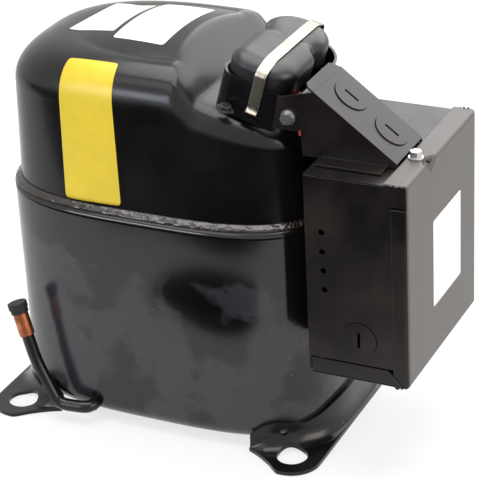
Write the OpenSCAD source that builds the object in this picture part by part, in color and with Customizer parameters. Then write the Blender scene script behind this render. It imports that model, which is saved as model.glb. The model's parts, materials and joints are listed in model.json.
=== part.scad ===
// Hermetic reciprocating refrigeration compressor.
// Welded two-piece steel shell, opposed-twin pump on springs, terminal cover and relay box.
// Origin: centre of the four-hole mounting pattern, on the plane that the feet rest on.
// +X points to the relay box, -Y to the long side with the discharge tube, +Z up. Millimetres.

/* [Shell] */
// Length of the lower shell along X
shell_len = 217; // [200:1:260]
// Depth of the lower shell along Y
shell_dep = 145; // [138:1:174]
// Height of the crown above the base plane
crown_z = 248.5; // [244:0.5:290]
// Height of the lower shell's rim, where the weld sits
seam_z = 148.5; // [146:0.5:156]
// Wall of both shell halves
shell_wall = 3.5; // [2.8:0.1:4.5]
// Depth of the lap between the two halves
lap_depth = 9; // [6:0.5:14]

/* [Feet] */
// Spacing of the mounting holes along X
hole_dx = 190.5; // [190.5:0.5:230]
// Spacing of the mounting holes along Y
hole_dy = 141.3; // [130:0.1:170]
// Diameter of the mounting holes
hole_d = 19.05; // [12:0.05:22]
// Thickness of the stamped feet
foot_plate = 3; // [2.5:0.1:4]

/* [Terminal] */
// Tilt of the terminal fence towards +X
fence_tilt = 16; // [12:1:18]
// Height of the fence wall above its seat
fence_h = 24; // [22:0.5:28]
// Wall of the fence
fence_wall = 1.6; // [1.2:0.1:2]
// Wall of the moulded terminal cover
cap_wall = 2.2; // [1.8:0.1:2.8]
// Width of the bail strap
strap_w = 7; // [5:0.5:9]

/* [Relay box] */
// Depth of the relay box along X
box_dx = 62.9; // [60:0.1:80]
// Width of the relay box along Y
box_dy = 113.7; // [112:0.1:130]
// Height of the relay box along Z
box_dz = 128.5; // [124:0.5:140]
// Sheet thickness of the box, cover and arm
sheet = 1.2; // [1:0.1:1.6]
// Diameter of the conduit knockouts
knockout_d = 22.2; // [20:0.1:24]

/* [Pump] */
// Cylinder bore
bore_d = 34; // [28:0.5:36]
// Piston stroke
stroke = 20; // [16:0.5:21]
// Connecting rod length between centres
rod_len = 50; // [48:0.5:51]
// Diameter of the crankshaft journal
shaft_d = 20; // [16:0.5:22]
// Stator stack height
stack_h = 62; // [50:1:64]
// Side of the square stator lamination
stator_w = 112; // [104:1:114]
// Outside diameter of the discharge tube
tube_d = 8; // [6:0.5:10]

/* [Hidden] */
fine = 64;
gap = 0.3;

// Shell section: superellipse |x/a|^p + |y/b|^p = 1
shell_pow = 3.2;
crown_pow = 2.1;
ring_n = 56;
half_len = shell_len / 2;
half_dep = shell_dep / 2;
bottom_z = foot_plate + 1;
bottom_r = 12;
lap_gap = 0.3;
upper_in = shell_wall + lap_gap;
draft = 2;
shoulder_z = crown_z - 34;
shoulder_x = 37;
shoulder_y = 22.5;
crown_rise = 6.2;

// Terminal seat pressed into the dome
seat_x = 68.5;
seat_y = -13.5;
seat_z = crown_z - 33;
step_x = 36.5;
step_angle = 42;
seat_lift = 10;
blend = 1.2;

// Terminal fence outline: a wide front body and a round back lobe
body_u = 25;
fence_front = 41.8;
fence_back = 41.8;
body_back = 12;
corner_r = 13;
lobe_r = 24;
lobe_u = 0;
cap_h = 13.4;
cap_lap = 4;
strap_t = 0.8;
strap_u = 1.5;
terminal_r = 17;
terminal_v = -11;

// Relay box frame
box_x = half_len + 4.3;
box_front = -78.4;
box_back = box_front + box_dy;
box_z = 71.2;
box_top = box_z + box_dz;
box_end = box_x + box_dx;
lip_h = 10.2;
seam_gap = 0.8;
arm_front = seat_y - fence_front - sheet;
arm_back = arm_front + 40.5;
arm_hi = [111.3, 240.5];
arm_lo = [161.3, box_top + 3.2];
arm_slope = atan2(arm_hi[1] - arm_lo[1], arm_lo[0] - arm_hi[0]);

// Pump levels, from the oil sump upwards
sump_z = bottom_z + shell_wall;
seat_h = 6;
spring_h = 24;
stator_z = sump_z + seat_h + spring_h;
stator_top = stator_z + stack_h;
winding_h = 17;
case_z = stator_top + 26;
case_t = 20;
deck_z = case_z + case_t;
web_t = 9;
stub_h = 6;
big_h = 10;
rod_gap = 1;
right_z = deck_z + gap + web_t + stub_h + gap + big_h / 2;
left_z = right_z + big_h + rod_gap;
throw = stroke / 2;
pin_x = sqrt(rod_len * rod_len - throw * throw);
rod_lean = asin(throw / rod_len);
piston_len = 24;
piston_back = 10;
cyl_x0 = rod_len - throw;
cyl_x1 = rod_len + throw + piston_len - piston_back + 2;
plate_t = 3;
head_t = 14;
head_w = 50;
wrist_d = 9;
running = 0.05;
rotor_d = 61;
stator_bore = rotor_d + 1;
spring_x = 49;
spring_y = 43;

// ---------- shared functions ----------
function sgn_pow(v, e) = sign(v) * pow(abs(v), e);
function ring(a, b, p, z) = [for (i = [0:ring_n - 1])
    let (t = 360 * i / ring_n) [a * sgn_pow(cos(t), 2 / p), b * sgn_pow(sin(t), 2 / p), z]];
function smin(a, b, k) = min(a, b) - k * ln(1 + exp(-abs(a - b) / k));
function unit(v) = v / norm(v);

// Faces between point rings; the ends are capped, or the last ring joins the first
module skin(rings, closed = false) {
    n = len(rings[0]);
    m = len(rings);
    spans = closed ? m - 1 : m - 2;
    sides = [for (j = [0:spans], i = [0:n - 1])
        let (a = j * n, b = ((j + 1) % m) * n, k = (i + 1) % n)
        each [[a + i, b + i, b + k], [a + i, b + k, a + k]]];
    caps = closed ? [] : [[for (i = [0:n - 1]) i], [for (i = [n - 1:-1:0]) (m - 1) * n + i]];
    polyhedron(points = [for (r = rings) each r], faces = concat(sides, caps), convexity = 6);
}

// Circle of sides points round path point i, square to the path
function path_dir(path, i) =
    unit(path[min(i + 1, len(path) - 1)] - path[max(i - 1, 0)]);
function path_ring(path, i, r, sides, ref) =
    let (t = path_dir(path, i), u = unit(cross(ref, t)), v = cross(t, u))
    [for (k = [0:sides - 1]) let (q = -360 * k / sides) path[i] + r * (cos(q) * v + sin(q) * u)];
module rod_tube(path, r, sides, ref) {
    skin([for (i = [0:len(path) - 1]) path_ring(path, i, r, sides, ref)]);
}
module pipe(path, r, r_in, sides, ref) {
    last = len(path) - 1;
    skin(concat([for (i = [0:last]) path_ring(path, i, r, sides, ref)],
        [for (i = [last:-1:0]) path_ring(path, i, r_in, sides, ref)]), closed = true);
}
// Corner points of a route rounded with short chords
function rounded(pts, r, steps = 5) = [for (i = [0:len(pts) - 1])
    each (i == 0 || i == len(pts) - 1) ? [pts[i]] :
        let (a = unit(pts[i - 1] - pts[i]) * r, b = unit(pts[i + 1] - pts[i]) * r)
        [for (s = [0:steps]) let (q = s / steps)
            pts[i] + a * (1 - q) * (1 - q) + b * q * q]];

// ---------- shell ----------
function lower_ring(inset, z) = ring(half_len - inset, half_dep - inset, shell_pow, z);
function upper_ring(inset, z) =
    ring(half_len - upper_in - inset, half_dep - upper_in - inset, shell_pow, z);

module lower_shell() {
    steps = 4;
    arc = [for (k = [0:steps]) 90 * k / steps];
    outer = [for (q = arc) lower_ring(bottom_r * (1 - sin(q)), bottom_z + bottom_r * (1 - cos(q)))];
    in_r = bottom_r - shell_wall;
    inner = [for (q = arc) lower_ring(shell_wall + in_r * (1 - cos(q)),
        bottom_z + shell_wall + in_r * (1 - sin(q)))];
    color([0.03, 0.03, 0.035]) difference() {
        skin(concat(outer, [lower_ring(0, seam_z), lower_ring(shell_wall, seam_z)], inner));
        translate(port) rotate([90, 0, 0])
            cylinder(h = 30, d = tube_d + 2 * running, center = true, $fn = fine);
    }
}

// Height of the pressed seat above x, and the dome pulled down to meet it
function seat_plane(x) = seat_z - (x - seat_x) * tan(fence_tilt);
function seat_cap(x) = seat_plane(x) + max(0, step_x - x) * tan(step_angle);
function pressed(x, z, drop) =
    let (top = crown_z - drop, cap = seat_cap(x) - drop * 1.03,
        scale_z = min(1, (cap + seat_lift - seam_z) / (top - seam_z)))
    smin(seam_z + (z - seam_z) * scale_z, cap, blend);
function pressed_ring(pts, drop) = [for (p = pts) [p[0], p[1], pressed(p[0], p[2], drop)]];

function shoulder_ring(q, drop) =
    let (i = 1 - pow(cos(q), 2 / 2.2), rise = pow(sin(q), 2 / 2.2),
        a = half_len - upper_in - draft - drop, b = half_dep - upper_in - draft - drop)
    ring(a - (shoulder_x - drop) * i, b - (shoulder_y - drop) * i,
        shell_pow + (crown_pow - shell_pow) * i,
        shoulder_z + (crown_z - drop - crown_rise - shoulder_z) * rise);
function crown_ring(q, drop) =
    ring((half_len - upper_in - draft - shoulder_x) * q, (half_dep - upper_in - draft - shoulder_y) * q,
        crown_pow, crown_z - drop - crown_rise * q * q);
function dome(drop) = concat(
    [for (q = [0.02, 0.2, 0.4, 0.6, 0.8]) pressed_ring(crown_ring(q, drop), drop)],
    [for (k = [9:-1:1]) pressed_ring(shoulder_ring(10 * k, drop), drop)]);
function wall_rings(drop) = [for (z = [shoulder_z, shoulder_z - 22])
    pressed_ring(upper_ring(drop + draft * (z - seam_z) / (shoulder_z - seam_z), z), drop)];

module upper_shell() {
    foot_z = seam_z - lap_depth;
    down = concat(dome(shell_wall), wall_rings(shell_wall), [upper_ring(shell_wall, seam_z + 6)]);
    up = concat(dome(0), wall_rings(0), [upper_ring(0, seam_z + 6)]);
    color([0.03, 0.03, 0.035]) difference() {
        skin(concat(down, [upper_ring(shell_wall, foot_z), upper_ring(0, foot_z)],
            [for (i = [len(up) - 1:-1:0]) up[i]]));
        on_terminal() cylinder(h = 40, r = terminal_r + running, center = true, $fn = fine);
        translate(suction_port) rotate([0, -90, 0])
            cylinder(h = 40, d = suction_d + 2 * running, center = true, $fn = fine);
    }
}

module weld_bead() {
    bulge = 2.6;
    profile = [[upper_in, seam_z], [0.7, seam_z], [-0.2, seam_z + 1], [0, seam_z + 2.2],
        [1.4, seam_z + 3.8], [upper_in - 0.8, seam_z + 3.8 + bulge / 2], [upper_in, seam_z + 5]];
    color([0.05, 0.05, 0.055])
        skin([for (p = profile) lower_ring(p[0], p[1])], closed = true);
}

// ---------- feet ----------
lobe = 18.5;
cradle_t = 2.5;
cradle_z = 18;
saddle_z = 26;
foot_in = 62;

// Strip that follows the shell wall on the +X side
module cradle_strip(h, y_max) {
    n = 40;
    function edge(off) = [for (k = [-n:n]) let (y = y_max * k / n)
        [(half_len + off) * pow(1 - pow(abs(y) / (half_dep + off), shell_pow), 1 / shell_pow), y]];
    outer = edge(gap + cradle_t);
    inner = edge(gap);
    translate([0, 0, foot_plate]) linear_extrude(h - foot_plate)
        polygon(concat(outer, [for (i = [2 * n:-1:0]) inner[i]]));
}

module foot() {
    hx = hole_dx / 2;
    hy = hole_dy / 2;
    color([0.04, 0.04, 0.045]) difference() {
        union() {
            for (s = [-1, 1])
                translate([hx, s * hy, 0]) cylinder(h = foot_plate, r = lobe, $fn = fine);
            translate([foot_in, -hy, 0]) cube([hx + lobe - foot_in, hole_dy, foot_plate]);
            for (s = [-1, 1]) linear_extrude(foot_plate)
                polygon([[foot_in, s * (hy - 6)], [hx + 6, s * (hy - 6)],
                    [hx - 3, s * (hy + 18)], [hx - 14, s * (hy + 12.4)], [foot_in, s * (hy - 3)]]);
            cradle_strip(cradle_z, half_dep * 0.9);
            cradle_strip(saddle_z, half_dep * 0.5);
        }
        for (s = [-1, 1])
            translate([hx, s * hy, -1]) cylinder(h = foot_plate + 2, d = hole_d, $fn = fine);
        for (s = [-1, 1])
            translate([hx - 11.5, s * (hy - 12), foot_plate + 7]) rotate([0, 90, 40 * s])
                cylinder(h = 16, d = 7, center = true, $fn = fine);
    }
}
module foot_right() { foot(); }
module foot_left() { mirror([1, 0, 0]) foot(); }

// Standoff welded to the shell, under the back of the relay box
module box_bracket() {
    color([0.05, 0.05, 0.05]) for (z = [92, 160]) translate([half_len, 0, z]) difference() {
        translate([z < seam_z ? 0 : -upper_in, -12, -6])
            cube([box_x - half_len + (z < seam_z ? 0 : upper_in), 24, 12]);
        rotate([0, 90, 0]) cylinder(h = 20, d = 4, center = true, $fn = fine);
    }
}

// ---------- tubes ----------
port = [-41, -70, 12];
tube_route = rounded([[-41, -62, 12], [-41, -78, 12], [-64, -79, 11], [-78, -78, 40], [-84, -77, 61]],
    7, 4);
stub_base = [-84, -77, 61];
stub_dir = unit([-6, 1, 21]);
stub_len = 15;
suction_port = [-96, -8, 203];
suction_d = 9.5;
suction_bore = 8.1;

module discharge_tube() {
    color([0.06, 0.06, 0.065]) pipe(tube_route, tube_d / 2, tube_d / 2 - 1, 12, [0, 0.6, 0.8]);
}
module along(dir) {
    rotate([0, acos(dir[2]), atan2(dir[1], dir[0])]) children();
}
stub_lap = 4;
socket_len = 12;
socket_r = 4.25;
stub_r = socket_r + 0.65;
module discharge_stub() {
    color([0.62, 0.33, 0.2]) translate(stub_base - stub_dir * stub_lap) along(stub_dir) difference() {
        cylinder(h = stub_len + stub_lap, r = stub_r, $fn = fine);
        translate([0, 0, -1]) cylinder(h = stub_len + stub_lap, r = tube_d / 2 + running, $fn = fine);
        translate([0, 0, stub_lap + stub_len - socket_len]) cylinder(h = stub_len, r = socket_r, $fn = fine);
    }
}
cap_over = 4;
module discharge_cap() {
    color([0.05, 0.05, 0.05]) translate(stub_base + stub_dir * (stub_len - cap_over)) along(stub_dir)
        difference() {
            union() {
                cylinder(h = cap_over + 3, r = stub_r + 0.7, $fn = fine);
                translate([0, 0, cap_over - 1]) cylinder(h = 4, r = stub_r + 1.3, $fn = fine);
            }
            translate([0, 0, -1]) cylinder(h = cap_over + 1 + gap, r = stub_r + running, $fn = fine);
        }
}
suction_out = 6;
suction_x = -(half_len - upper_in) - suction_out;
module suction_tube() {
    color([0.62, 0.33, 0.2]) translate([suction_x, suction_port[1], suction_port[2]])
        rotate([0, 90, 0]) difference() {
            cylinder(h = suction_out + 7, d = suction_d, $fn = fine);
            translate([0, 0, -1]) cylinder(h = suction_out + 9, d = suction_bore, $fn = fine);
        }
}
module suction_cap() {
    color([0.05, 0.05, 0.05]) translate([suction_x - 2, suction_port[1], suction_port[2]])
        rotate([0, 90, 0]) difference() {
            cylinder(h = 6, d = suction_d + 2.6, $fn = fine);
            translate([0, 0, 2 - gap]) cylinder(h = 8, d = suction_d + 2 * running, $fn = fine);
        }
}

// ---------- terminal ----------
module on_seat() {
    translate([seat_x, seat_y, seat_z]) rotate([0, fence_tilt, 0]) children();
}
module on_terminal() {
    on_seat() translate([0, terminal_v, 0]) children();
}
// Plan of the fence, grown or shrunk by off
module fence_plan(off) {
    r = corner_r + off;
    u = body_u - corner_r;
    v0 = -fence_front + corner_r;
    v1 = body_back - corner_r;
    translate([-u - r, v0]) square([2 * (u + r), v1 - v0]);
    translate([-u, v0 - r]) square([2 * u, v1 - v0 + 2 * r]);
    for (x = [-u, u], y = [v0, v1]) translate([x, y]) circle(r, $fn = fine);
    translate([lobe_u, fence_back - lobe_r]) circle(lobe_r + off, $fn = fine);
}
module terminal_fence() {
    color([0.04, 0.04, 0.045]) difference() {
        union() {
            on_seat() linear_extrude(fence_h) fence_plan(0);
            on_seat() for (s = [-1, 1])
                translate([strap_u - strap_w / 2 - 1.5, s > 0 ? fence_back - 0.4 : -fence_front - 3, ear_z])
                    cube([strap_w + 3, 3.4, ear_t]);
            at_arm_screw() translate([0, 0, -arm_boss]) cylinder(h = arm_boss - sheet, r = 4.2, $fn = fine);
        }
        on_seat() translate([0, 0, -1]) linear_extrude(fence_h + 2) fence_plan(-fence_wall);
        on_seat() translate([body_u - 6, -fence_front + 8, 5]) cube([12, 26, 15]);
        at_arm_screw() cylinder(h = 4 * arm_boss, r = 2, center = true, $fn = fine);
    }
}
// Weld nut on the fence's rounded corner that takes the arm's screw
arm_boss = 11;
module at_arm_screw() {
    translate([arm_screw_at[0], arm_front, arm_screw_at[1]]) rotate([90, 0, 0]) children();
}
module terminal_block() {
    color([0.35, 0.35, 0.37]) on_terminal() difference() {
        translate([0, 0, -8]) cylinder(h = 11, r = terminal_r, $fn = fine);
        translate([0, 0, -9]) cylinder(h = 9, r = terminal_r - 2.2, $fn = fine);
        pin_places() cylinder(h = 40, r = 3.6, center = true, $fn = fine);
    }
}
module pin_places() {
    for (a = [90, 210, 330]) rotate(a) translate([pin_ring, 0, 0]) children();
}
module terminal_glass() {
    color([0.1, 0.16, 0.22]) on_terminal() pin_places() difference() {
        translate([0, 0, 0]) cylinder(h = 3, r = 3.6, $fn = fine);
        cylinder(h = 12, r = 1.6, center = true, $fn = fine);
    }
}
module terminal_pins() {
    color([0.72, 0.7, 0.66]) on_terminal() pin_places() translate([0, 0, -12])
        cylinder(h = pin_top + 12, r = 1.6, $fn = fine);
}
// Drop below the crown and inset of each step of the rounded cover
cap_steps = [[5, 1], [2.4, 4.5], [0, 9]];
module terminal_cover() {
    inset = fence_wall + gap;
    base = fence_h - cap_lap;
    top = fence_h + cap_h;
    color([0.06, 0.06, 0.065]) on_seat() difference() {
        union() {
            translate([0, 0, base]) linear_extrude(top - 8 - base) fence_plan(-inset);
            for (k = cap_steps) translate([0, 0, base]) linear_extrude(top - k[0] - base)
                fence_plan(-inset - k[1]);
        }
        translate([0, 0, base - 1]) linear_extrude(top - 8 - base + 1) fence_plan(-inset - cap_wall);
    }
}
ear_z = 3.2;
ear_t = 1.6;
strap_low = ear_z + ear_t + gap;
strap_mid = fence_h + 10;
strap_top = fence_h + cap_h + gap;
strap_side = fence_front + gap;
strap_in = strap_side - 12;
module bail_strap() {
    t = strap_t;
    outer = [[-strap_side - t, strap_low], [-strap_side - t, strap_mid + 0.3],
        [-strap_in - 0.3, strap_top + t], [strap_in + 0.3, strap_top + t],
        [strap_side + t, strap_mid + 0.3], [strap_side + t, strap_low]];
    inner = [[strap_side, strap_low], [strap_side, strap_mid], [strap_in, strap_top],
        [-strap_in, strap_top], [-strap_side, strap_mid], [-strap_side, strap_low]];
    color([0.75, 0.72, 0.66]) on_seat() translate([strap_u + strap_w / 2, 0, 0])
        rotate([90, 0, -90]) linear_extrude(strap_w)
            polygon([for (p = concat(outer, inner)) [-p[0], p[1]]]);
}
// Ground lug, a corner of its plate against the front of the fence
lug = [-13, -(fence_front + gap + 4 * sqrt(2))];
lug_z = 5;
module ground_lug() {
    color([0.3, 0.3, 0.31]) on_seat() translate([lug[0], lug[1], lug_z]) rotate(45) difference() {
        translate([-4, -4, 0]) cube([8, 8, 1.6]);
        cylinder(h = 6, r = 2, center = true, $fn = fine);
    }
}
module ground_screw() {
    color([0.4, 0.4, 0.42]) on_seat() translate([lug[0], lug[1], lug_z]) {
        cylinder(h = 1.6, r = 1.9, $fn = fine);
        translate([0, 0, 1.6]) cylinder(h = 1.8, r = 3.4, $fn = fine);
    }
}

// ---------- relay box ----------
wire_x = box_x + 6;
wire_dx = 30;
wire_y = arm_front + 6;
wire_dy = 28;
front_knock = [box_x + 32, box_z + 27];
vent_x = box_x + 10.2;
module relay_box() {
    floor_z = box_z + sheet + gap;
    color([0.07, 0.07, 0.075]) difference() {
        translate([box_x, box_front, floor_z])
            cube([box_dx - sheet - gap, box_dy, box_top - floor_z]);
        translate([box_x + sheet, box_front + sheet, floor_z - 1])
            cube([box_dx, box_dy - 2 * sheet, box_top - floor_z + 1 - sheet]);
        for (y = [box_front - 1, box_back - sheet - gap]) translate([0, y + sheet + gap + 1, 0])
            rotate([90, 0, 0]) linear_extrude(sheet + gap + 1) lip_plan(seam_gap);
        translate([wire_x, wire_y, box_top - 5]) cube([wire_dx, wire_dy, 10]);
        for (k = [0:3]) translate([vent_x + 0.3 * k, box_front, box_top - 35.4 - 12.3 * k])
            rotate([90, 0, 0]) cylinder(h = 8, d = 3.8, center = true, $fn = fine);
        translate([front_knock[0], box_front, front_knock[1]])
            rotate([90, 0, 0]) cylinder(h = 8, d = knockout_d, center = true, $fn = fine);
        translate([screw_x, screw_y, box_top - 5]) cylinder(h = 10, d = 4.4, $fn = fine);
        translate([screw_x, screw_y - 2.2, box_top - 5]) cube([30, 4.4, 10]);
    }
}
// Side view of the lip and side flange that the cover turns over the box's lower and end edges
flange_w = 9.2;
flange_drop = 13.7;
module lip_plan(off) {
    x0 = box_x + 2 - off;
    x1 = box_end - flange_w - off;
    z1 = box_z + lip_h + off;
    z2 = box_top - flange_drop + off;
    polygon([[x0, box_z - off], [box_end + 2 * off, box_z - off], [box_end + 2 * off, z2], [x1, z2],
        [x1, z1], [x0, z1]]);
}
top_flange = 14;
screw_x = box_end - 9;
screw_y = -41;
module box_cover() {
    color([0.3, 0.3, 0.31]) difference() {
        union() {
            translate([box_end - sheet, box_front, box_z]) cube([sheet, box_dy, box_dz + sheet + gap]);
            translate([box_x + 2, box_front, box_z]) cube([box_dx - 2, box_dy, sheet]);
            for (y = [box_front, box_back - sheet]) translate([0, y + sheet, 0]) rotate([90, 0, 0])
                linear_extrude(sheet) lip_plan(0);
            translate([box_end - top_flange, box_front, box_top + gap])
                cube([top_flange, box_dy, sheet]);
        }
        translate([screw_x, screw_y, box_top - 5]) cylinder(h = 10, d = 4.4, $fn = fine);
    }
}
module hex_screw(len, shank = 1.9) {
    cylinder(h = 1, r = 4.6, $fn = fine);
    cylinder(h = 4.6, r = 3.6, $fn = 6);
    translate([0, 0, -len]) cylinder(h = len + 0.5, r = shank, $fn = fine);
}
module cover_screw() {
    color([0.7, 0.68, 0.6]) translate([screw_x, screw_y, box_top + gap + sheet]) hex_screw(9);
}
arm_top_len = norm(arm_lo - arm_hi);
// The side plates end half-way into the sloping plate
arm_sink = [sin(arm_slope), cos(arm_slope)] * sheet / 2;
module arm_side(y, with_tab) {
    tab = [[103.4, box_top + gap], [102.4, 214.5], [84.8, 214.5], [88.8, 234.4]];
    plain = [[103.4, box_top + gap], [103.4, 238]];
    translate([0, y, 0]) rotate([90, 0, 0]) translate([0, 0, -sheet]) linear_extrude(sheet)
        polygon(concat([[arm_lo[0], box_top + gap]], with_tab ? tab : plain, [arm_hi - arm_sink, arm_lo - arm_sink]));
}
knock_s = [16.5, 47];
module arm_top_frame() {
    translate([arm_hi[0], arm_front, arm_hi[1]]) rotate([0, arm_slope, 0]) children();
}
module box_arm() {
    wide = arm_back - arm_front;
    color([0.09, 0.09, 0.095]) difference() {
        union() {
            arm_side(arm_front, true);
            arm_side(arm_back - sheet, false);
            arm_top_frame() translate([0, 0, -sheet]) cube([arm_top_len, wide, sheet]);
            translate([box_x + 3, arm_front - 11, box_top + gap]) cube([40, 11 + sheet, sheet]);
        }
        arm_top_frame() for (s = knock_s) translate([s, wide / 2 + 3, -sheet])
            cylinder(h = 8, d = knockout_d, center = true, $fn = fine);
        at_arm_screw() cylinder(h = 8, d = 4, center = true, $fn = fine);
    }
}
arm_screw_at = [95.2, 222.9];
module arm_screw() {
    color([0.78, 0.76, 0.7]) at_arm_screw() hex_screw(arm_boss - 2);
}
module slug() {
    difference() {
        translate([0, 0, 0.3]) cylinder(h = sheet + 0.4, d = knockout_d - 0.3, $fn = fine);
        translate([-5, -0.9, -1]) cube([10, 1.8, 6]);
    }
}
module knockout_slugs() {
    wide = arm_back - arm_front;
    color([0.16, 0.16, 0.165]) {
        arm_top_frame() for (s = knock_s) translate([s, wide / 2 + 3, -sheet]) slug();
        translate([front_knock[0], box_front + sheet, front_knock[1]]) rotate([90, 0, 0])
            rotate(90) slug();
    }
}
cap_floor = box_z + 5;
start_at = [box_x + 25, box_front + 29];
run_at = [box_x + 26, box_back - 19];
module start_capacitor() {
    color([0.08, 0.08, 0.085]) translate([start_at[0], start_at[1], cap_floor]) {
        cylinder(h = 84, d = 36, $fn = fine);
        for (s = [-1, 1]) translate([-0.4, s * 7 - 3, 84]) cube([0.8, 6, 8]);
    }
}
module run_capacitor() {
    color([0.7, 0.7, 0.71]) translate([run_at[0], run_at[1], cap_floor]) {
        for (s = [-1, 1]) translate([s * 9, 0, 0]) cylinder(h = 80, d = 28, $fn = fine);
        translate([-9, -14, 0]) cube([18, 28, 80]);
        for (s = [-1, 1]) translate([s * 9 - 3, -0.4, 80]) cube([6, 0.8, 8]);
    }
}
relay_y = -29.8;
relay_z = box_z + 36;
relay_h = 52;
module start_relay() {
    color([0.1, 0.1, 0.11]) difference() {
        union() {
            translate([box_x + sheet, relay_y + 3.5, relay_z]) cube([32, 24, relay_h]);
            translate([box_x + sheet, relay_y, relay_z + 8]) cube([3, 30.6, 10]);
        }
        translate([box_x + sheet - 1, relay_y + 1.8, relay_z + 13]) rotate([0, 90, 0])
            cylinder(h = 6, d = 2.4, $fn = fine);
    }
}
clip_t = 1;
module clip_band(x, y, r, z) {
    translate([x, y, z]) difference() {
        union() {
            cylinder(h = 12, r = r + clip_t, $fn = fine);
            translate([box_x + sheet - x, -5, 0]) cube([x - box_x - sheet, 10, 12]);
        }
        translate([0, 0, -1]) cylinder(h = 14, r = r, $fn = fine);
    }
}
module capacitor_clips() {
    color([0.55, 0.55, 0.56]) {
        for (z = [cap_floor + 14, cap_floor + 58]) clip_band(start_at[0], start_at[1], 18, z);
        for (z = [cap_floor + 14, cap_floor + 54]) difference() {
            translate([box_x + sheet, run_at[1] - 14 - clip_t, z]) cube([clip_t + 26, 28 + 2 * clip_t, 12]);
            translate([box_x + sheet + clip_t, run_at[1] - 14, z - 1]) cube([40, 28, 14]);
        }
    }
}
// Point of the fence frame in the object's frame
function seat_point(p) = [seat_x + p[0] * cos(fence_tilt) + p[2] * sin(fence_tilt), seat_y + p[1],
    seat_z - p[0] * sin(fence_tilt) + p[2] * cos(fence_tilt)];
pin_ring = 9;
pin_top = 18;
wire_low = [[118, -34, 211], [130, -36, 201], [135, -30, 185], [134, -20, 172],
    [134, relay_y + 15.5, relay_z + relay_h + 3 * gap]];
module lead_wires() {
    color([0.75, 0.12, 0.1]) for (k = [0:2]) let (s = [1, -1, 0][k], a = 90 + 120 * k,
        pin = [pin_ring * cos(a), terminal_v + pin_ring * sin(a)],
        high = [for (p = [[pin[0], pin[1], pin_top + gap], [pin[0] + 1, pin[1], pin_top + 5],
            [17, -18 + 3.4 * s, 15], [26, -18 + 3.4 * s, 12.5], [36, -19 + 3.4 * s, 12]]) seat_point(p)],
        low = [for (p = wire_low) p + [0, 3.4 * s, 0]])
        rod_tube(rounded(concat(high, low), 3, 2), 1.4, 8, [0, 1, 0.02]);
}

// ---------- pump inside the shell ----------
module corners() {
    for (x = [-1, 1], y = [-1, 1]) translate([x * spring_x, y * spring_y, 0]) children();
}
module spring_seats() {
    color([0.5, 0.5, 0.5]) corners() {
        translate([0, 0, sump_z]) cylinder(h = seat_h, r = 9, $fn = fine);
        translate([0, 0, sump_z + seat_h]) cylinder(h = 4, r = 4.6, $fn = fine);
    }
}
coil_r = 6.4;
wire_r = 1;
module suspension_springs() {
    turns = 5;
    per = 14;
    low = sump_z + seat_h + wire_r;
    rise = spring_h - 2 * wire_r;
    helix = [for (i = [0:turns * per]) let (q = 360 * i / per)
        [coil_r * cos(q), coil_r * sin(q), low + rise * i / (turns * per)]];
    color([0.55, 0.55, 0.57]) corners() rod_tube(helix, wire_r, 6, [0, 0, 1]);
}
module stator_core() {
    color([0.4, 0.4, 0.42]) difference() {
        intersection() {
            translate([-stator_w / 2, -stator_w / 2, stator_z]) cube([stator_w, stator_w, stack_h]);
            translate([0, 0, stator_z]) cylinder(h = stack_h, r = stator_w * 0.66, $fn = 2 * fine);
        }
        translate([0, 0, stator_z - 1]) cylinder(h = stack_h + 2, d = stator_bore, $fn = 2 * fine);
        corners() translate([0, 0, stator_z - 1]) cylinder(h = stack_h + 2, r = 2.6, $fn = fine);
    }
}
module end_windings() {
    color([0.6, 0.3, 0.14]) for (z = [stator_z - winding_h, stator_top]) translate([0, 0, z])
        rotate_extrude($fn = fine) translate([stator_bore / 2 + 4, 0]) union() {
            translate([0, 3]) square([15, winding_h - 6]);
            translate([3, 0]) square([9, winding_h]);
        }
}
bolt_top = case_z + 12;
module stator_bolts() {
    color([0.6, 0.6, 0.6]) corners() {
        translate([0, 0, stator_z - 3]) cylinder(h = bolt_top - stator_z + 3, r = 2.5, $fn = fine);
        translate([0, 0, stator_z - 4]) cylinder(h = 4, r = 4.6, $fn = 6);
        translate([0, 0, bolt_top]) cylinder(h = 4, r = 4.6, $fn = 6);
    }
}
hub_r = 17;
bush_t = 2;
module crankcase() {
    color([0.28, 0.29, 0.3]) difference() {
        union() {
            translate([-78, -26, case_z]) cube([156, 52, case_t]);
            translate([0, 0, case_z]) cylinder(h = case_t, r = 38, $fn = fine);
            corners() translate([0, 0, stator_top]) cylinder(h = bolt_top - stator_top, r = 8, $fn = fine);
            for (x = [-1, 1], y = [-1, 1])
                translate([x * spring_x - 8, y > 0 ? 20 : -spring_y, case_z]) cube([16, spring_y - 20, 12]);
            translate([0, 0, stator_top - 4]) cylinder(h = case_z - stator_top + 5, r = hub_r, $fn = fine);
        }
        translate([0, 0, stator_top - 10]) cylinder(h = 80, r = shaft_d / 2 + bush_t, $fn = fine);
        corners() translate([0, 0, stator_top - 1]) cylinder(h = 60, r = 2.6, $fn = fine);
    }
}
module main_bearing() {
    color([0.72, 0.52, 0.25]) translate([0, 0, stator_top - 4]) difference() {
        cylinder(h = deck_z - stator_top + 4, r = shaft_d / 2 + bush_t, $fn = fine);
        translate([0, 0, -1]) cylinder(h = 80, r = shaft_d / 2 + running, $fn = fine);
    }
}
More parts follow.
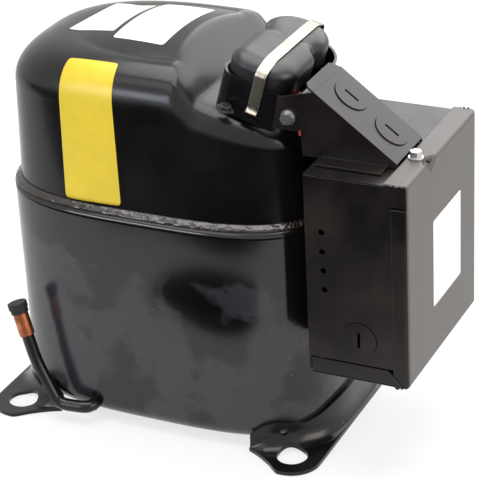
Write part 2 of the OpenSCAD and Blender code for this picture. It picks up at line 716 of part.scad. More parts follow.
// Cylinder barrel on a pad that stands on the crankcase deck, towards +X
module cylinder_block(z) {
    color([0.33, 0.34, 0.35]) difference() {
        union() {
            translate([cyl_x0, 0, z]) rotate([0, 90, 0])
                cylinder(h = cyl_x1 - cyl_x0, r = bore_d / 2 + 5, $fn = fine);
            translate([cyl_x0, -18, deck_z]) cube([cyl_x1 - cyl_x0, 36, z - deck_z]);
            translate([cyl_x1 - 7, -head_w / 2, max(deck_z, z - 21)]) cube([7, head_w, z + 21 - max(deck_z, z - 21)]);
        }
        translate([cyl_x0 - 1, 0, z]) rotate([0, 90, 0]) cylinder(h = 60, r = bore_d / 2, $fn = 2 * fine);
        translate([0, -50, deck_z - 50]) cube([200, 100, 50]);
        head_places(z) cylinder(h = 60, r = 2.6, center = true, $fn = fine);
    }
}
module head_places(z) {
    for (y = [-20, 20], dz = [-14, 15]) translate([cyl_x1, y, z + dz]) rotate([0, 90, 0]) children();
}
module right_cylinder() { cylinder_block(right_z); }
module left_cylinder() { mirror([1, 0, 0]) cylinder_block(left_z); }
module head_outline(t, z) {
    low = max(deck_z, z - 21);
    translate([0, -head_w / 2, low]) cube([t, head_w, z + 21 - low]);
}
module valve_plate(z) {
    difference() {
        translate([cyl_x1, 0, 0]) head_outline(plate_t, z);
        head_places(z) cylinder(h = 60, r = 2.6, center = true, $fn = fine);
        for (s = [-7, 7]) translate([cyl_x1 - 1, s, z]) rotate([0, 90, 0]) cylinder(h = 8, r = 3, $fn = fine);
    }
}
module valve_plates() {
    color([0.5, 0.5, 0.52]) {
        valve_plate(right_z);
        mirror([1, 0, 0]) valve_plate(left_z);
    }
}
module cylinder_head(z) {
    difference() {
        translate([cyl_x1 + plate_t, 0, 0]) head_outline(head_t, z);
        for (s = [-1, 1]) translate([cyl_x1 + plate_t - 1, s > 0 ? 1.5 : -15.5, z - 10]) cube([head_t - 3, 14, 20]);
        head_places(z) cylinder(h = 60, r = 2.6, center = true, $fn = fine);
    }
}
module cylinder_heads() {
    color([0.45, 0.46, 0.47]) {
        cylinder_head(right_z);
        mirror([1, 0, 0]) cylinder_head(left_z);
    }
}
module head_bolt_set(z) {
    head_places(z) {
        translate([0, 0, -7]) cylinder(h = 7 + plate_t + head_t, r = 2.5, $fn = fine);
        translate([0, 0, plate_t + head_t]) cylinder(h = 3.5, r = 4.4, $fn = 6);
    }
}
module head_bolts() {
    color([0.62, 0.62, 0.63]) {
        head_bolt_set(right_z);
        mirror([1, 0, 0]) head_bolt_set(left_z);
    }
}
muffler_x = -72;
module discharge_muffler() {
    color([0.35, 0.35, 0.36]) translate([muffler_x, 36, deck_z - 14]) cylinder(h = 30, r = 9.7, $fn = fine);
}
loop_route = rounded([[-72, 36, deck_z - 14.3], [-72, 36, 100], [-88, 0, 92], [-86, -32, 60],
    [-80, -44, 22], [-62, -57, 14], [port[0], -57, port[2]], [port[0], -61.7, port[2]]], 4, 3);
module discharge_loop() {
    color([0.4, 0.4, 0.42]) rod_tube(loop_route, 3, 8, [0.7, 0, 0.7]);
}
module crankshaft() {
    oil_z = stator_z - winding_h + 4;
    color([0.5, 0.5, 0.52]) {
        translate([0, 0, oil_z]) cylinder(h = deck_z + gap - oil_z, d = shaft_d, $fn = fine);
        translate([0, 0, deck_z + gap]) cylinder(h = web_t, r = 21, $fn = fine);
        translate([0, throw, deck_z + gap + web_t]) cylinder(h = stub_h, r = 8, $fn = fine);
    }
}
module counterweight() {
    color([0.42, 0.42, 0.44]) translate([0, 0, deck_z + gap]) difference() {
        cylinder(h = web_t, r = 27, $fn = fine);
        translate([0, 0, -1]) cylinder(h = web_t + 2, r = 21, $fn = fine);
        translate([-30, -8, -1]) cube([60, 60, web_t + 2]);
    }
}
module rotor() {
    color([0.36, 0.36, 0.38]) translate([0, 0, stator_z]) difference() {
        union() {
            cylinder(h = stack_h, d = rotor_d, $fn = 2 * fine);
            translate([0, 0, -5]) cylinder(h = 5, d = rotor_d - 6, $fn = fine);
        }
        translate([0, 0, -6]) cylinder(h = stack_h + 8, d = shaft_d, $fn = fine);
        translate([0, 0, stack_h - 8]) cylinder(h = 10, r = hub_r + 2, $fn = fine);
    }
}
module oil_pickup() {
    top = stator_z - winding_h + 4;
    color([0.6, 0.6, 0.6]) difference() {
        translate([0, 0, sump_z + 3]) cylinder(h = top - sump_z - 3, r1 = 4, r2 = shaft_d / 2 - 2, $fn = fine);
        translate([0, 0, sump_z + 2]) cylinder(h = top - sump_z - 5, r = 2, $fn = fine);
    }
}
ring_t = 1.6;
module piston(z) {
    color([0.7, 0.71, 0.72]) difference() {
        translate([pin_x - piston_back, 0, z]) rotate([0, 90, 0])
            cylinder(h = piston_len, r = bore_d / 2 - running, $fn = 2 * fine);
        translate([pin_x - piston_back - 1, 0, z]) rotate([0, 90, 0])
            cylinder(h = piston_len - 5, r = bore_d / 2 - 3.5, $fn = fine);
        translate([pin_x, 0, z]) cylinder(h = bore_d + 2, r = wrist_d / 2, center = true, $fn = fine);
        for (k = [0, 1]) translate([pin_x + piston_len - piston_back - 3.4 - 3.4 * k, 0, z]) rotate([0, 90, 0])
            difference() {
                cylinder(h = ring_t, r = bore_d, $fn = fine);
                translate([0, 0, -1]) cylinder(h = ring_t + 2, r = bore_d / 2 - 1.6, $fn = fine);
            }
    }
}
module right_piston() { piston(right_z); }
module left_piston() { mirror([1, 0, 0]) piston(left_z); }
module wrist_pin(z) {
    color([0.75, 0.75, 0.76]) translate([pin_x, 0, z])
        cylinder(h = bore_d - 3, r = wrist_d / 2, center = true, $fn = fine);
}
module right_wrist_pin() { wrist_pin(right_z); }
module left_wrist_pin() { mirror([1, 0, 0]) wrist_pin(left_z); }
// Connecting rod from the wrist pin to the crankpin, which rests at +Y
module rod(z) {
    color([0.6, 0.61, 0.62]) translate([pin_x, 0, z - big_h / 2]) rotate(-rod_lean) difference() {
        union() {
            cylinder(h = big_h, r = 8, $fn = fine);
            translate([-rod_len, 0, 0]) cylinder(h = big_h, r = 14.5, $fn = fine);
            translate([-rod_len, -4, 0]) cube([rod_len, 8, big_h]);
        }
        translate([0, 0, -1]) cylinder(h = big_h + 2, r = wrist_d / 2 + running, $fn = fine);
        translate([-rod_len, 0, -1]) cylinder(h = big_h + 2, r = 10.5, $fn = fine);
    }
}
module rod_bush(z) {
    color([0.72, 0.52, 0.25]) translate([pin_x, 0, z - big_h / 2]) rotate(-rod_lean)
        translate([-rod_len, 0, 0]) difference() {
            cylinder(h = big_h, r = 10.5, $fn = fine);
            translate([0, 0, -1]) cylinder(h = big_h + 2, r = 8 + running, $fn = fine);
        }
}
module right_rod() { rod(right_z); }
module left_rod() { mirror([1, 0, 0]) rod(left_z); }
module right_rod_bush() { rod_bush(right_z); }
module left_rod_bush() { mirror([1, 0, 0]) rod_bush(left_z); }
module ring_pair(z) {
    for (k = [0, 1]) translate([pin_x + piston_len - piston_back - 3.4 - 3.4 * k, 0, z]) rotate([0, 90, 0])
        difference() {
            cylinder(h = ring_t, r = bore_d / 2 - running / 2, $fn = 2 * fine);
            translate([0, 0, -1]) cylinder(h = ring_t + 2, r = bore_d / 2 - 1.6, $fn = fine);
        }
}
module right_piston_rings() { color([0.3, 0.3, 0.3]) ring_pair(right_z); }
module left_piston_rings() { color([0.3, 0.3, 0.3]) mirror([1, 0, 0]) ring_pair(left_z); }

lower_shell();
upper_shell();
weld_bead();
foot_right();
foot_left();
box_bracket();
discharge_tube();
discharge_stub();
discharge_cap();
suction_tube();
suction_cap();
terminal_block();
terminal_glass();
terminal_pins();
terminal_fence();
terminal_cover();
bail_strap();
ground_lug();
ground_screw();
relay_box();
box_cover();
cover_screw();
box_arm();
arm_screw();
knockout_slugs();
start_relay();
start_capacitor();
run_capacitor();
capacitor_clips();
lead_wires();
spring_seats();
suspension_springs();
stator_core();
end_windings();
stator_bolts();
crankcase();
main_bearing();
right_cylinder();
left_cylinder();
valve_plates();
cylinder_heads();
head_bolts();
discharge_muffler();
discharge_loop();
crankshaft();
counterweight();
rotor();
oil_pickup();
right_piston();
left_piston();
right_piston_rings();
left_piston_rings();
right_wrist_pin();
left_wrist_pin();
right_rod();
left_rod();
right_rod_bush();
left_rod_bush();
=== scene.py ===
"""Studio scene of a hermetic refrigeration compressor.

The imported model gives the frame. The visible pressings, mouldings and fittings are made again
here as finished meshes, each riding on its own body, and every piece gets a procedural finish.
Lengths in the classes are millimetres; meshes are written in metres.
"""

from __future__ import annotations

import json
import logging
import math
from dataclasses import dataclass, field
from enum import Enum
from typing import Callable, Iterable, Optional, Sequence

import bmesh
import bpy
from mathutils import Matrix, Vector, noise
from mathutils.bvhtree import BVHTree

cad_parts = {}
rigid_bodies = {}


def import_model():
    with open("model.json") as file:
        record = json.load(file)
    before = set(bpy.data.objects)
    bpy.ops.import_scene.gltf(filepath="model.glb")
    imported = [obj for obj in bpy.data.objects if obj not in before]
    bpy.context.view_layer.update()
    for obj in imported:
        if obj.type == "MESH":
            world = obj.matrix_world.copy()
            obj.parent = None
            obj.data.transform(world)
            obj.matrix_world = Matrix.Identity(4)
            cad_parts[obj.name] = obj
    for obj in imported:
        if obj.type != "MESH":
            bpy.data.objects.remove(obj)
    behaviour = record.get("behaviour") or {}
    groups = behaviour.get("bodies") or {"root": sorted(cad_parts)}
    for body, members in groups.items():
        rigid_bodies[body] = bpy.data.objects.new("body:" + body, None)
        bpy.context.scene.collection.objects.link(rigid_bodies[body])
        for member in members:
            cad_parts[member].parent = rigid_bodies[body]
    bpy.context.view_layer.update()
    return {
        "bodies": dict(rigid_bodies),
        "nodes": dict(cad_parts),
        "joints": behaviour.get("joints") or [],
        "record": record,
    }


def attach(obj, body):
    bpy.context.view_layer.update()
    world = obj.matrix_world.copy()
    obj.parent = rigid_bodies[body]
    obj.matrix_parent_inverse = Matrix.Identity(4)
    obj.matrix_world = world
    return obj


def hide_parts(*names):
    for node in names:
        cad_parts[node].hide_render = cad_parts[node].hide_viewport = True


LOG = logging.getLogger("compressor")
MM = 0.001
UM = 1e-6
QUARTER = math.pi / 2
MERGE_M = 2e-6
CREASE = math.radians(35)
Place = Callable[[float, float], Vector]
Tree = bpy.types.NodeTree
Socket = bpy.types.NodeSocket
Pair = tuple[float, float]
Spot = tuple[float, float, float]
Piece = bpy.types.Object
Mesh = bmesh.types.BMesh


class Body(Enum):
    """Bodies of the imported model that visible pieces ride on."""

    HOUSING = "housing"
    TERMINAL_CAP = "terminal_cap"
    BAIL = "bail"
    BOX_LID = "box_lid"
    DISCHARGE_PLUG = "discharge_plug"
    SUCTION_PLUG = "suction_plug"


class Pattern(Enum):
    """How a surface was made, which sets the shape of its finest relief."""

    SMOOTH = "smooth"
    LAMINATED = "laminated"
    WOUND = "wound"
    GRITTY = "gritty"


# ---- Materials ----


def linear(code: str) -> tuple[float, float, float, float]:
    """Turns an sRGB hex colour into linear RGBA.

    Args:
        code: Colour such as "#1a1b1c".

    Returns:
        The four linear channels, alpha 1.
    """
    parts = [int(code[i : i + 2], 16) / 255 for i in (1, 3, 5)]
    return (*[c / 12.92 if c <= 0.04045 else ((c + 0.055) / 1.055) ** 2.4 for c in parts], 1.0)


def fresh_tree(owner: bpy.types.ID) -> Tree:
    """Returns the node tree of a new material or world, emptied."""
    owner.use_nodes = True
    owner.node_tree.nodes.clear()
    return owner.node_tree


def add(tree: Tree, kind: str, inputs: Optional[dict] = None, **settings) -> bpy.types.Node:
    """Adds one shader node with its settings and links.

    Args:
        tree: Node tree to add to.
        kind: Node type name.
        inputs: Socket name or index to a value, or to an output socket to link.
        **settings: Properties of the node itself.

    Returns:
        The new node.
    """
    node = tree.nodes.new(kind)
    for key, value in settings.items():
        setattr(node, key, value)
    for key, value in (inputs or {}).items():
        if isinstance(value, Socket):
            tree.links.new(value, node.inputs[key])
        else:
            node.inputs[key].default_value = value
    return node


def remap(tree: Tree, value: Socket, low: float, high: float, to_low: float = 0.0, to_high: float = 1.0) -> Socket:
    """Returns a value moved from one range to another, and clamped to it."""
    limits = {"From Min": low, "From Max": high, "To Min": to_low, "To Max": to_high}
    return add(tree, "ShaderNodeMapRange", {"Value": value, **limits}).outputs[0]


def maths(tree: Tree, operation: str, first: Socket, second: Socket | float) -> Socket:
    """Returns the result of one step of arithmetic."""
    return add(tree, "ShaderNodeMath", {0: first, 1: second}, operation=operation).outputs[0]


def mixed(tree: Tree, share: Socket, first: object, second: object) -> Socket:
    """Returns two colours mixed by a share of the second."""
    return add(tree, "ShaderNodeMix", {0: share, 6: first, 7: second}, data_type="RGBA").outputs[2]


@dataclass(frozen=True)
class Finish:
    """One real-world finish, with sizes in millimetres and relief in micrometres."""

    name: str
    tint: str
    second: str
    roughness: Pair
    patch_mm: float
    grain_mm: float
    grain_um: float
    metallic: float = 0.0
    specular: float = 0.5
    coat: float = 0.0
    coat_roughness: float = 0.1
    wave_mm: float = 0.0
    wave_um: float = 0.0
    streak: Spot = (1.0, 1.0, 1.0)
    pattern: Pattern = Pattern.SMOOTH
    speck: Optional[str] = None
    speck_share: float = 0.0
    speck_mm: float = 5.0
    patch_spread: float = 0.2
    # Heights in mm of a band that darkens towards its top, painted shade under the seam, and how far it darkens.
    seam_shade: Optional[Pair] = None
    seam_shade_drop: float = 0.32

    def build(self) -> bpy.types.Material:
        """Returns the material, made the first time it is asked for."""
        found = bpy.data.materials.get(self.name)
        if found:
            return found
        material = bpy.data.materials.new(self.name)
        tree = fresh_tree(material)
        place = add(tree, "ShaderNodeTexCoord").outputs["Object"]
        patches = self._patches(tree, place)
        colour = mixed(tree, patches, linear(self.tint), linear(self.second))
        if self.speck:
            colour = self._specks(tree, place, colour)
        look = {
            "Base Color": colour,
            "Roughness": remap(tree, patches, 0.0, 1.0, *self.roughness),
            "Metallic": self.metallic,
            "Specular IOR Level": self.specular,
            "Coat Weight": self.coat,
            "Coat Roughness": self.coat_roughness,
            "Normal": self._relief(tree, place),
        }
        shader = add(tree, "ShaderNodeBsdfPrincipled", look)
        add(tree, "ShaderNodeOutputMaterial", {"Surface": shader.outputs[0]})
        return material

    def _patches(self, tree: Tree, place: Socket) -> Socket:
        """Returns the share of the second colour, kept low in a band below the seam as painted shade under the bead.
        """
        value = self._noise(tree, place, self.patch_mm, detail=5.0)
        if self.seam_shade:
            height = add(tree, "ShaderNodeSeparateXYZ", {0: place}).outputs[2]
            # Painted shade: the share drops towards the seam, darkening the band under the bead.
            seam_shade_fall = remap(tree, height, self.seam_shade[0] * MM, self.seam_shade[1] * MM, 0.0, self.seam_shade_drop)
            value = maths(tree, "SUBTRACT", value, seam_shade_fall)
        return remap(tree, value, 0.5 - self.patch_spread, 0.5 + self.patch_spread)

    @staticmethod
    def _noise(tree: Tree, place: Socket, size_mm: float, detail: float, streak: Spot = (1.0, 1.0, 1.0)) -> Socket:
        """Returns noise whose features are size_mm across, drawn out along streak."""
        turned = add(tree, "ShaderNodeMapping", {"Vector": place, "Scale": streak}).outputs[0]
        grain = {"Vector": turned, "Scale": 1000 / size_mm, "Detail": detail, "Roughness": 0.55}
        return add(tree, "ShaderNodeTexNoise", grain).outputs[0]

    def _specks(self, tree: Tree, place: Socket, colour: Socket) -> Socket:
        """Returns the colour with small scattered specks of dust or wear."""
        cells = add(tree, "ShaderNodeTexVoronoi", {"Vector": place, "Scale": 1000 / self.speck_mm}, feature="F1")
        near = remap(tree, cells.outputs["Distance"], 0.05, 0.1, 1.0, 0.0)
        split = add(tree, "ShaderNodeSeparateColor", {0: cells.outputs["Color"]})
        chosen = maths(tree, "LESS_THAN", split.outputs[0], self.speck_share)
        return mixed(tree, maths(tree, "MULTIPLY", near, chosen), colour, linear(self.speck or self.second))

    def _relief(self, tree: Tree, place: Socket) -> Socket:
        """Returns the normal with the pattern's fine relief and any slow waviness."""
        if self.pattern in (Pattern.LAMINATED, Pattern.WOUND):
            bands = {"Vector": place, "Scale": 1000 / self.grain_mm / 20, "Distortion": 0.4, "Detail": 1.0}
            along = "Z" if self.pattern is Pattern.LAMINATED else "DIAGONAL"
            height = add(tree, "ShaderNodeTexWave", bands, wave_type="BANDS", bands_direction=along).outputs["Fac"]
        else:
            detail = 6.0 if self.pattern is Pattern.GRITTY else 2.0
            height = self._noise(tree, place, self.grain_mm, detail, self.streak)
        fine = {"Height": height, "Distance": self.grain_um * UM, "Strength": 1.0}
        normal = add(tree, "ShaderNodeBump", fine).outputs[0]
        if self.wave_um:
            slow = self._noise(tree, place, self.wave_mm, 1.0)
            wave = {"Height": slow, "Distance": self.wave_um * UM, "Strength": 1.0, "Normal": normal}
            normal = add(tree, "ShaderNodeBump", wave).outputs[0]
        return normal


# Baked black enamel over drawn steel: hard gloss with a slow orange peel that bends reflections.
ENAMEL = Finish(
    "black_baked_enamel", "#080808", "#0f0e0f", (0.17, 0.3), 40, 1.2, 3, specular=0.34, coat=0.08,
    coat_roughness=0.08, wave_mm=16, wave_um=70, speck="#6b6660", speck_share=0.02,
)
# The enamel low on the shell: a lilac-grey bloom over the gloss, partly a real haze and partly a painted
# reflection of the pale surroundings, broken by oily brown-black blotches, and darker in a band under the seam:
# painted shade under the bead.
BLOOM_AND_REFLECTION_ENAMEL = Finish(
    "black_enamel_with_bloom_and_painted_reflection", "#090706", "#28262b", (0.13, 0.2), 46, 1.2, 4, specular=0.52, coat=0.1,
    coat_roughness=0.08, patch_spread=0.035, seam_shade=(112, 146), wave_mm=26, wave_um=60, speck="#6f5d4c",
    speck_share=0.05, speck_mm=6.0,
)
# The same enamel sprayed thin over a rough fillet weld: glittering broken highlights, rust in the pits.
BEAD = Finish(
    "enamel_over_weld", "#0a0909", "#2a1d15", (0.1, 0.2), 2.2, 1.6, 170, specular=0.7, patch_spread=0.12,
    speck="#a36a48", speck_share=0.14, speck_mm=3.0,
)
# Satin black paint on cold-rolled sheet, with a faint brown cast and rubbed patches.
SHEET_PAINT = Finish(
    "satin_black_sheet_paint", "#0c0a09", "#1c1512", (0.24, 0.38), 30, 0.9, 9, specular=0.36, wave_mm=45,
    wave_um=150, speck="#8a8178", speck_share=0.015,
)
# Thin satin black paint on the cover, painted lighter grey than the box's paint: painted light on the side that the
# right-hand soft box lights, with random patches.
LIT_SIDE_LID_PAINT = Finish(
    "black_lid_paint_lightened_as_painted_light", "#34302d", "#524e4c", (0.32, 0.5), 60, 0.9, 10, specular=0.55, wave_mm=50, wave_um=120,
    speck="#b7aea2", speck_share=0.012,
)
# Phenolic moulding: dense black with a soft semi-gloss skin.
PHENOLIC = Finish("moulded_black_phenolic", "#141416", "#1c1c1f", (0.34, 0.46), 18, 0.7, 14)
# Rolled stainless spring strip, brushed along its width so that highlights smear.
STAINLESS = Finish(
    "brushed_stainless_strip", "#b9b1a3", "#8f877b", (0.24, 0.36), 12, 0.5, 6, metallic=1.0,
    streak=(0.15, 1.0, 0.15),
)
# Zinc plate with a clear passivate: bright, faintly blue-yellow.
ZINC = Finish("clear_zinc_plate", "#c3c4c2", "#9b9c9a", (0.24, 0.4), 4, 0.6, 9, metallic=1.0)
# Zinc under overspray of the shell's enamel: dark, with the metal showing at the edges.
GROUND_COAT = Finish("oversprayed_zinc_plate", "#232427", "#4a4b4e", (0.3, 0.45), 3, 0.6, 12, metallic=0.6)
# Drawn copper, heat-tinted by brazing.
COPPER = Finish("heat_tinted_copper", "#c27a58", "#86492f", (0.3, 0.46), 7, 0.7, 12, metallic=1.0)
RUBBER = Finish("moulded_black_rubber", "#121212", "#1a1a1b", (0.6, 0.72), 6, 0.5, 16, specular=0.4)
MACHINED = Finish(
    "machined_steel", "#8b8c8e", "#6f7072", (0.28, 0.42), 15, 0.4, 5, metallic=1.0, streak=(0.3, 0.3, 1.0),
)
LAMINATION = Finish(
    "stacked_silicon_steel", "#6d6e72", "#525357", (0.35, 0.5), 20, 0.6, 60, metallic=1.0, pattern=Pattern.LAMINATED,
)
GREY_IRON = Finish(
    "sand_cast_grey_iron", "#5b5d60", "#434548", (0.5, 0.66), 12, 1.0, 60, metallic=0.85, pattern=Pattern.GRITTY,
)
DIE_CAST = Finish("die_cast_aluminium", "#b3b5b8", "#94969a", (0.34, 0.48), 14, 0.6, 14, metallic=1.0)
BRONZE = Finish(
    "sintered_bronze", "#b1813f", "#8a6231", (0.34, 0.5), 5, 0.4, 14, metallic=1.0, pattern=Pattern.GRITTY,
)
WINDING = Finish(
    "varnished_magnet_wire", "#93441d", "#6d2d12", (0.24, 0.38), 6, 1.2, 280, metallic=0.4, coat=0.5,
    pattern=Pattern.WOUND,
)
GLASS_SEAL = Finish("fused_glass_seal", "#1e3446", "#142634", (0.08, 0.14), 2, 0.8, 4, specular=0.6)
RED_SLEEVE = Finish("red_wire_insulation", "#9c1c17", "#7d130f", (0.4, 0.5), 6, 0.6, 10)
# Bare label films: nothing is printed on them.
YELLOW_FILM = Finish("bare_yellow_vinyl_film", "#dcc230", "#cdb327", (0.26, 0.4), 25, 1.5, 8, wave_mm=14, wave_um=60)
WHITE_FILM = Finish(
    "bare_white_polyester_film", "#e9eaec", "#dcdde0", (0.3, 0.42), 20, 1.4, 8, wave_mm=12, wave_um=40,
)
CREAM_FILM = Finish("bare_cream_paper_label", "#ddd6c9", "#cbc3b5", (0.45, 0.6), 18, 0.6, 16)
RED_DAUB = Finish("red_inspection_paint", "#b3201c", "#8c1613", (0.35, 0.5), 1.5, 0.5, 30)

SLOT_FINISH: dict[str, Finish] = {
    "black_enamel": ENAMEL,
    "box_black": SHEET_PAINT,
    "copper": COPPER,
    "rubber": RUBBER,
    "moulded_black": PHENOLIC,
    "stainless": STAINLESS,
    "zinc": ZINC,
    "glass_seal": GLASS_SEAL,
    "bare_steel": MACHINED,
    "iron": GREY_IRON,
    "alloy": DIE_CAST,
    "bronze": BRONZE,
    "winding": WINDING,
    "wire_red": RED_SLEEVE,
}
NODE_FINISH: dict[str, Finish] = {"stator_core": LAMINATION, "rotor": LAMINATION}


# ---- Mesh helpers ----


def surface(columns: int, rows: int, place: Place) -> Mesh:
    """Maps a grid to a surface; edges that meet, and poles, are joined.

    Args:
        columns: Cells along the first parameter.
        rows: Cells along the second parameter.
        place: Gives the point in millimetres for two parameters from 0 to 1.

    Returns:
        A new bmesh in metres.
    """
    mesh = bmesh.new()
    bmesh.ops.create_grid(mesh, x_segments=columns, y_segments=rows, size=1.0)
    for vert in mesh.verts:
        vert.co = place((vert.co.x + 1) / 2, (vert.co.y + 1) / 2) * MM
    bmesh.ops.remove_doubles(mesh, verts=mesh.verts, dist=MERGE_M)
    bmesh.ops.recalc_face_normals(mesh, faces=mesh.faces)
    return mesh


def smooth_min(a: float, b: float, blend: float) -> float:
    """Returns the smaller of two heights with a soft change-over."""
    return min(a, b) - blend * math.log1p(math.exp(-abs(a - b) / blend))


def oval(turn: float, half_len: float, half_dep: float, power: float) -> Pair:
    """Returns the point of a superellipse at a share of a full turn."""
    c, s = math.cos(2 * math.pi * turn), math.sin(2 * math.pi * turn)
    return (
        half_len * math.copysign(abs(c) ** (2 / power), c),
        half_dep * math.copysign(abs(s) ** (2 / power), s),
    )


def loose(mesh: Mesh, name: str) -> Piece:
    """Turns a bmesh, freed here, into an object of the scene."""
    data = bpy.data.meshes.new(name)
    mesh.to_mesh(data)
    mesh.free()
    thing = bpy.data.objects.new(name, data)
    bpy.context.scene.collection.objects.link(thing)
    return thing


def shade(data: bpy.types.Mesh, crease: float) -> None:
    """Shades a mesh smooth, with sharp edges above the crease angle in radians."""
    data.polygons.foreach_set("use_smooth", [True] * len(data.polygons))
    data.set_sharp_from_angle(angle=crease)


def finished(
    mesh: Mesh,
    name: str,
    slot: str,
    body: Body = Body.HOUSING,
    finish: Optional[Finish] = None,
    replaces: Sequence[str] = (),
    crease: float = 35.0,
) -> Piece:
    """Turns a bmesh into a named piece that rides on its body.

    Args:
        mesh: The shape, freed here.
        name: Name of the piece.
        slot: Material slot of the record.
        body: Body it rides on.
        finish: Its finish, or None for the slot's own.
        replaces: CAD nodes that it stands for.
        crease: Angle in degrees above which an edge stays sharp.

    Returns:
        The new object.
    """
    piece = loose(mesh, name)
    shade(piece.data, math.radians(crease))
    piece.data.materials.append((finish or SLOT_FINISH[slot]).build())
    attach(piece, body.value)
    if replaces:
        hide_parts(*replaces)
    LOG.info("%s rides on %s", name, body.value)
    return piece


def thicken(piece: Piece, wall: float, outward: float = -1.0) -> Piece:
    """Gives a sheet piece its wall, inward unless outward says otherwise."""
    wall_maker = piece.modifiers.new("wall", "SOLIDIFY")
    wall_maker.thickness = wall * MM
    wall_maker.offset = outward
    return piece


def even_out(piece: Piece) -> Piece:
    """Weights the normals by face area, so that flat faces between small bevels shade flat."""
    even = piece.modifiers.new("even", "WEIGHTED_NORMAL")
    even.keep_sharp = True
    even.weight = 100
    return piece


def carve(piece: Piece, cutters: Iterable[Piece]) -> Piece:
    """Cuts closed shapes out of a piece and applies its modifiers.

    Args:
        piece: The piece to cut.
        cutters: Closed shapes, deleted afterwards.

    Returns:
        The same piece.
    """
    cutters = list(cutters)
    for cutter in cutters:
        cut = piece.modifiers.new("cut", "BOOLEAN")
        cut.operation, cut.solver, cut.object = "DIFFERENCE", "EXACT", cutter
    graph = bpy.context.evaluated_depsgraph_get()
    data = bpy.data.meshes.new_from_object(piece.evaluated_get(graph))
    piece.modifiers.clear()
    piece.data = data
    for cutter in cutters:
        bpy.data.objects.remove(cutter)
    shade(data, CREASE)
    return piece


def rod(start: Vector, end: Vector, radius: float, sides: int = 48) -> Piece:
    """Returns a round cutter between two points in millimetres."""
    mesh = bmesh.new()
    bmesh.ops.create_cone(
        mesh, cap_ends=True, segments=sides, radius1=radius * MM, radius2=radius * MM, depth=(end - start).length * MM
    )
    turn = (end - start).to_track_quat("Z", "Y").to_matrix().to_4x4()
    bmesh.ops.transform(mesh, matrix=Matrix.Translation((start + end) / 2 * MM) @ turn, verts=mesh.verts)
    return loose(mesh, "cutter")


@dataclass
class Refined:
    """A CAD solid copied, merged and given the edge radius that the real one has."""

    node: str
    slot: str = "black_enamel"
    edge: float = 0.3
    segments: int = 2
    body: Body = Body.HOUSING
    finish: Optional[Finish] = None
    sharp: float = math.radians(28.0)

    def make(self, frame: dict) -> Piece:
        """Builds the piece from its CAD node.

        Args:
            frame: The loaded frame.

        Returns:
            The new piece, which stands for the node.
        """
        mesh = bmesh.new()
        mesh.from_mesh(frame["nodes"][self.node].data)
        bmesh.ops.remove_doubles(mesh, verts=mesh.verts, dist=3e-6)
        bmesh.ops.dissolve_limit(mesh, angle_limit=math.radians(1.0), verts=mesh.verts, edges=mesh.edges)
        if self.edge > 0:
            edges = [e for e in mesh.edges if e.is_manifold and e.calc_face_angle(0.0) > self.sharp]
            bmesh.ops.bevel(
                mesh, geom=edges, offset=self.edge * MM, segments=self.segments, profile=0.5, affect="EDGES",
                material=-1, clamp_overlap=True, loop_slide=True,
            )
        piece = finished(mesh, f"{self.node}_piece", self.slot, self.body, self.finish, [self.node])
        return even_out(piece) if self.edge > 0 else piece


# ---- Shell ----


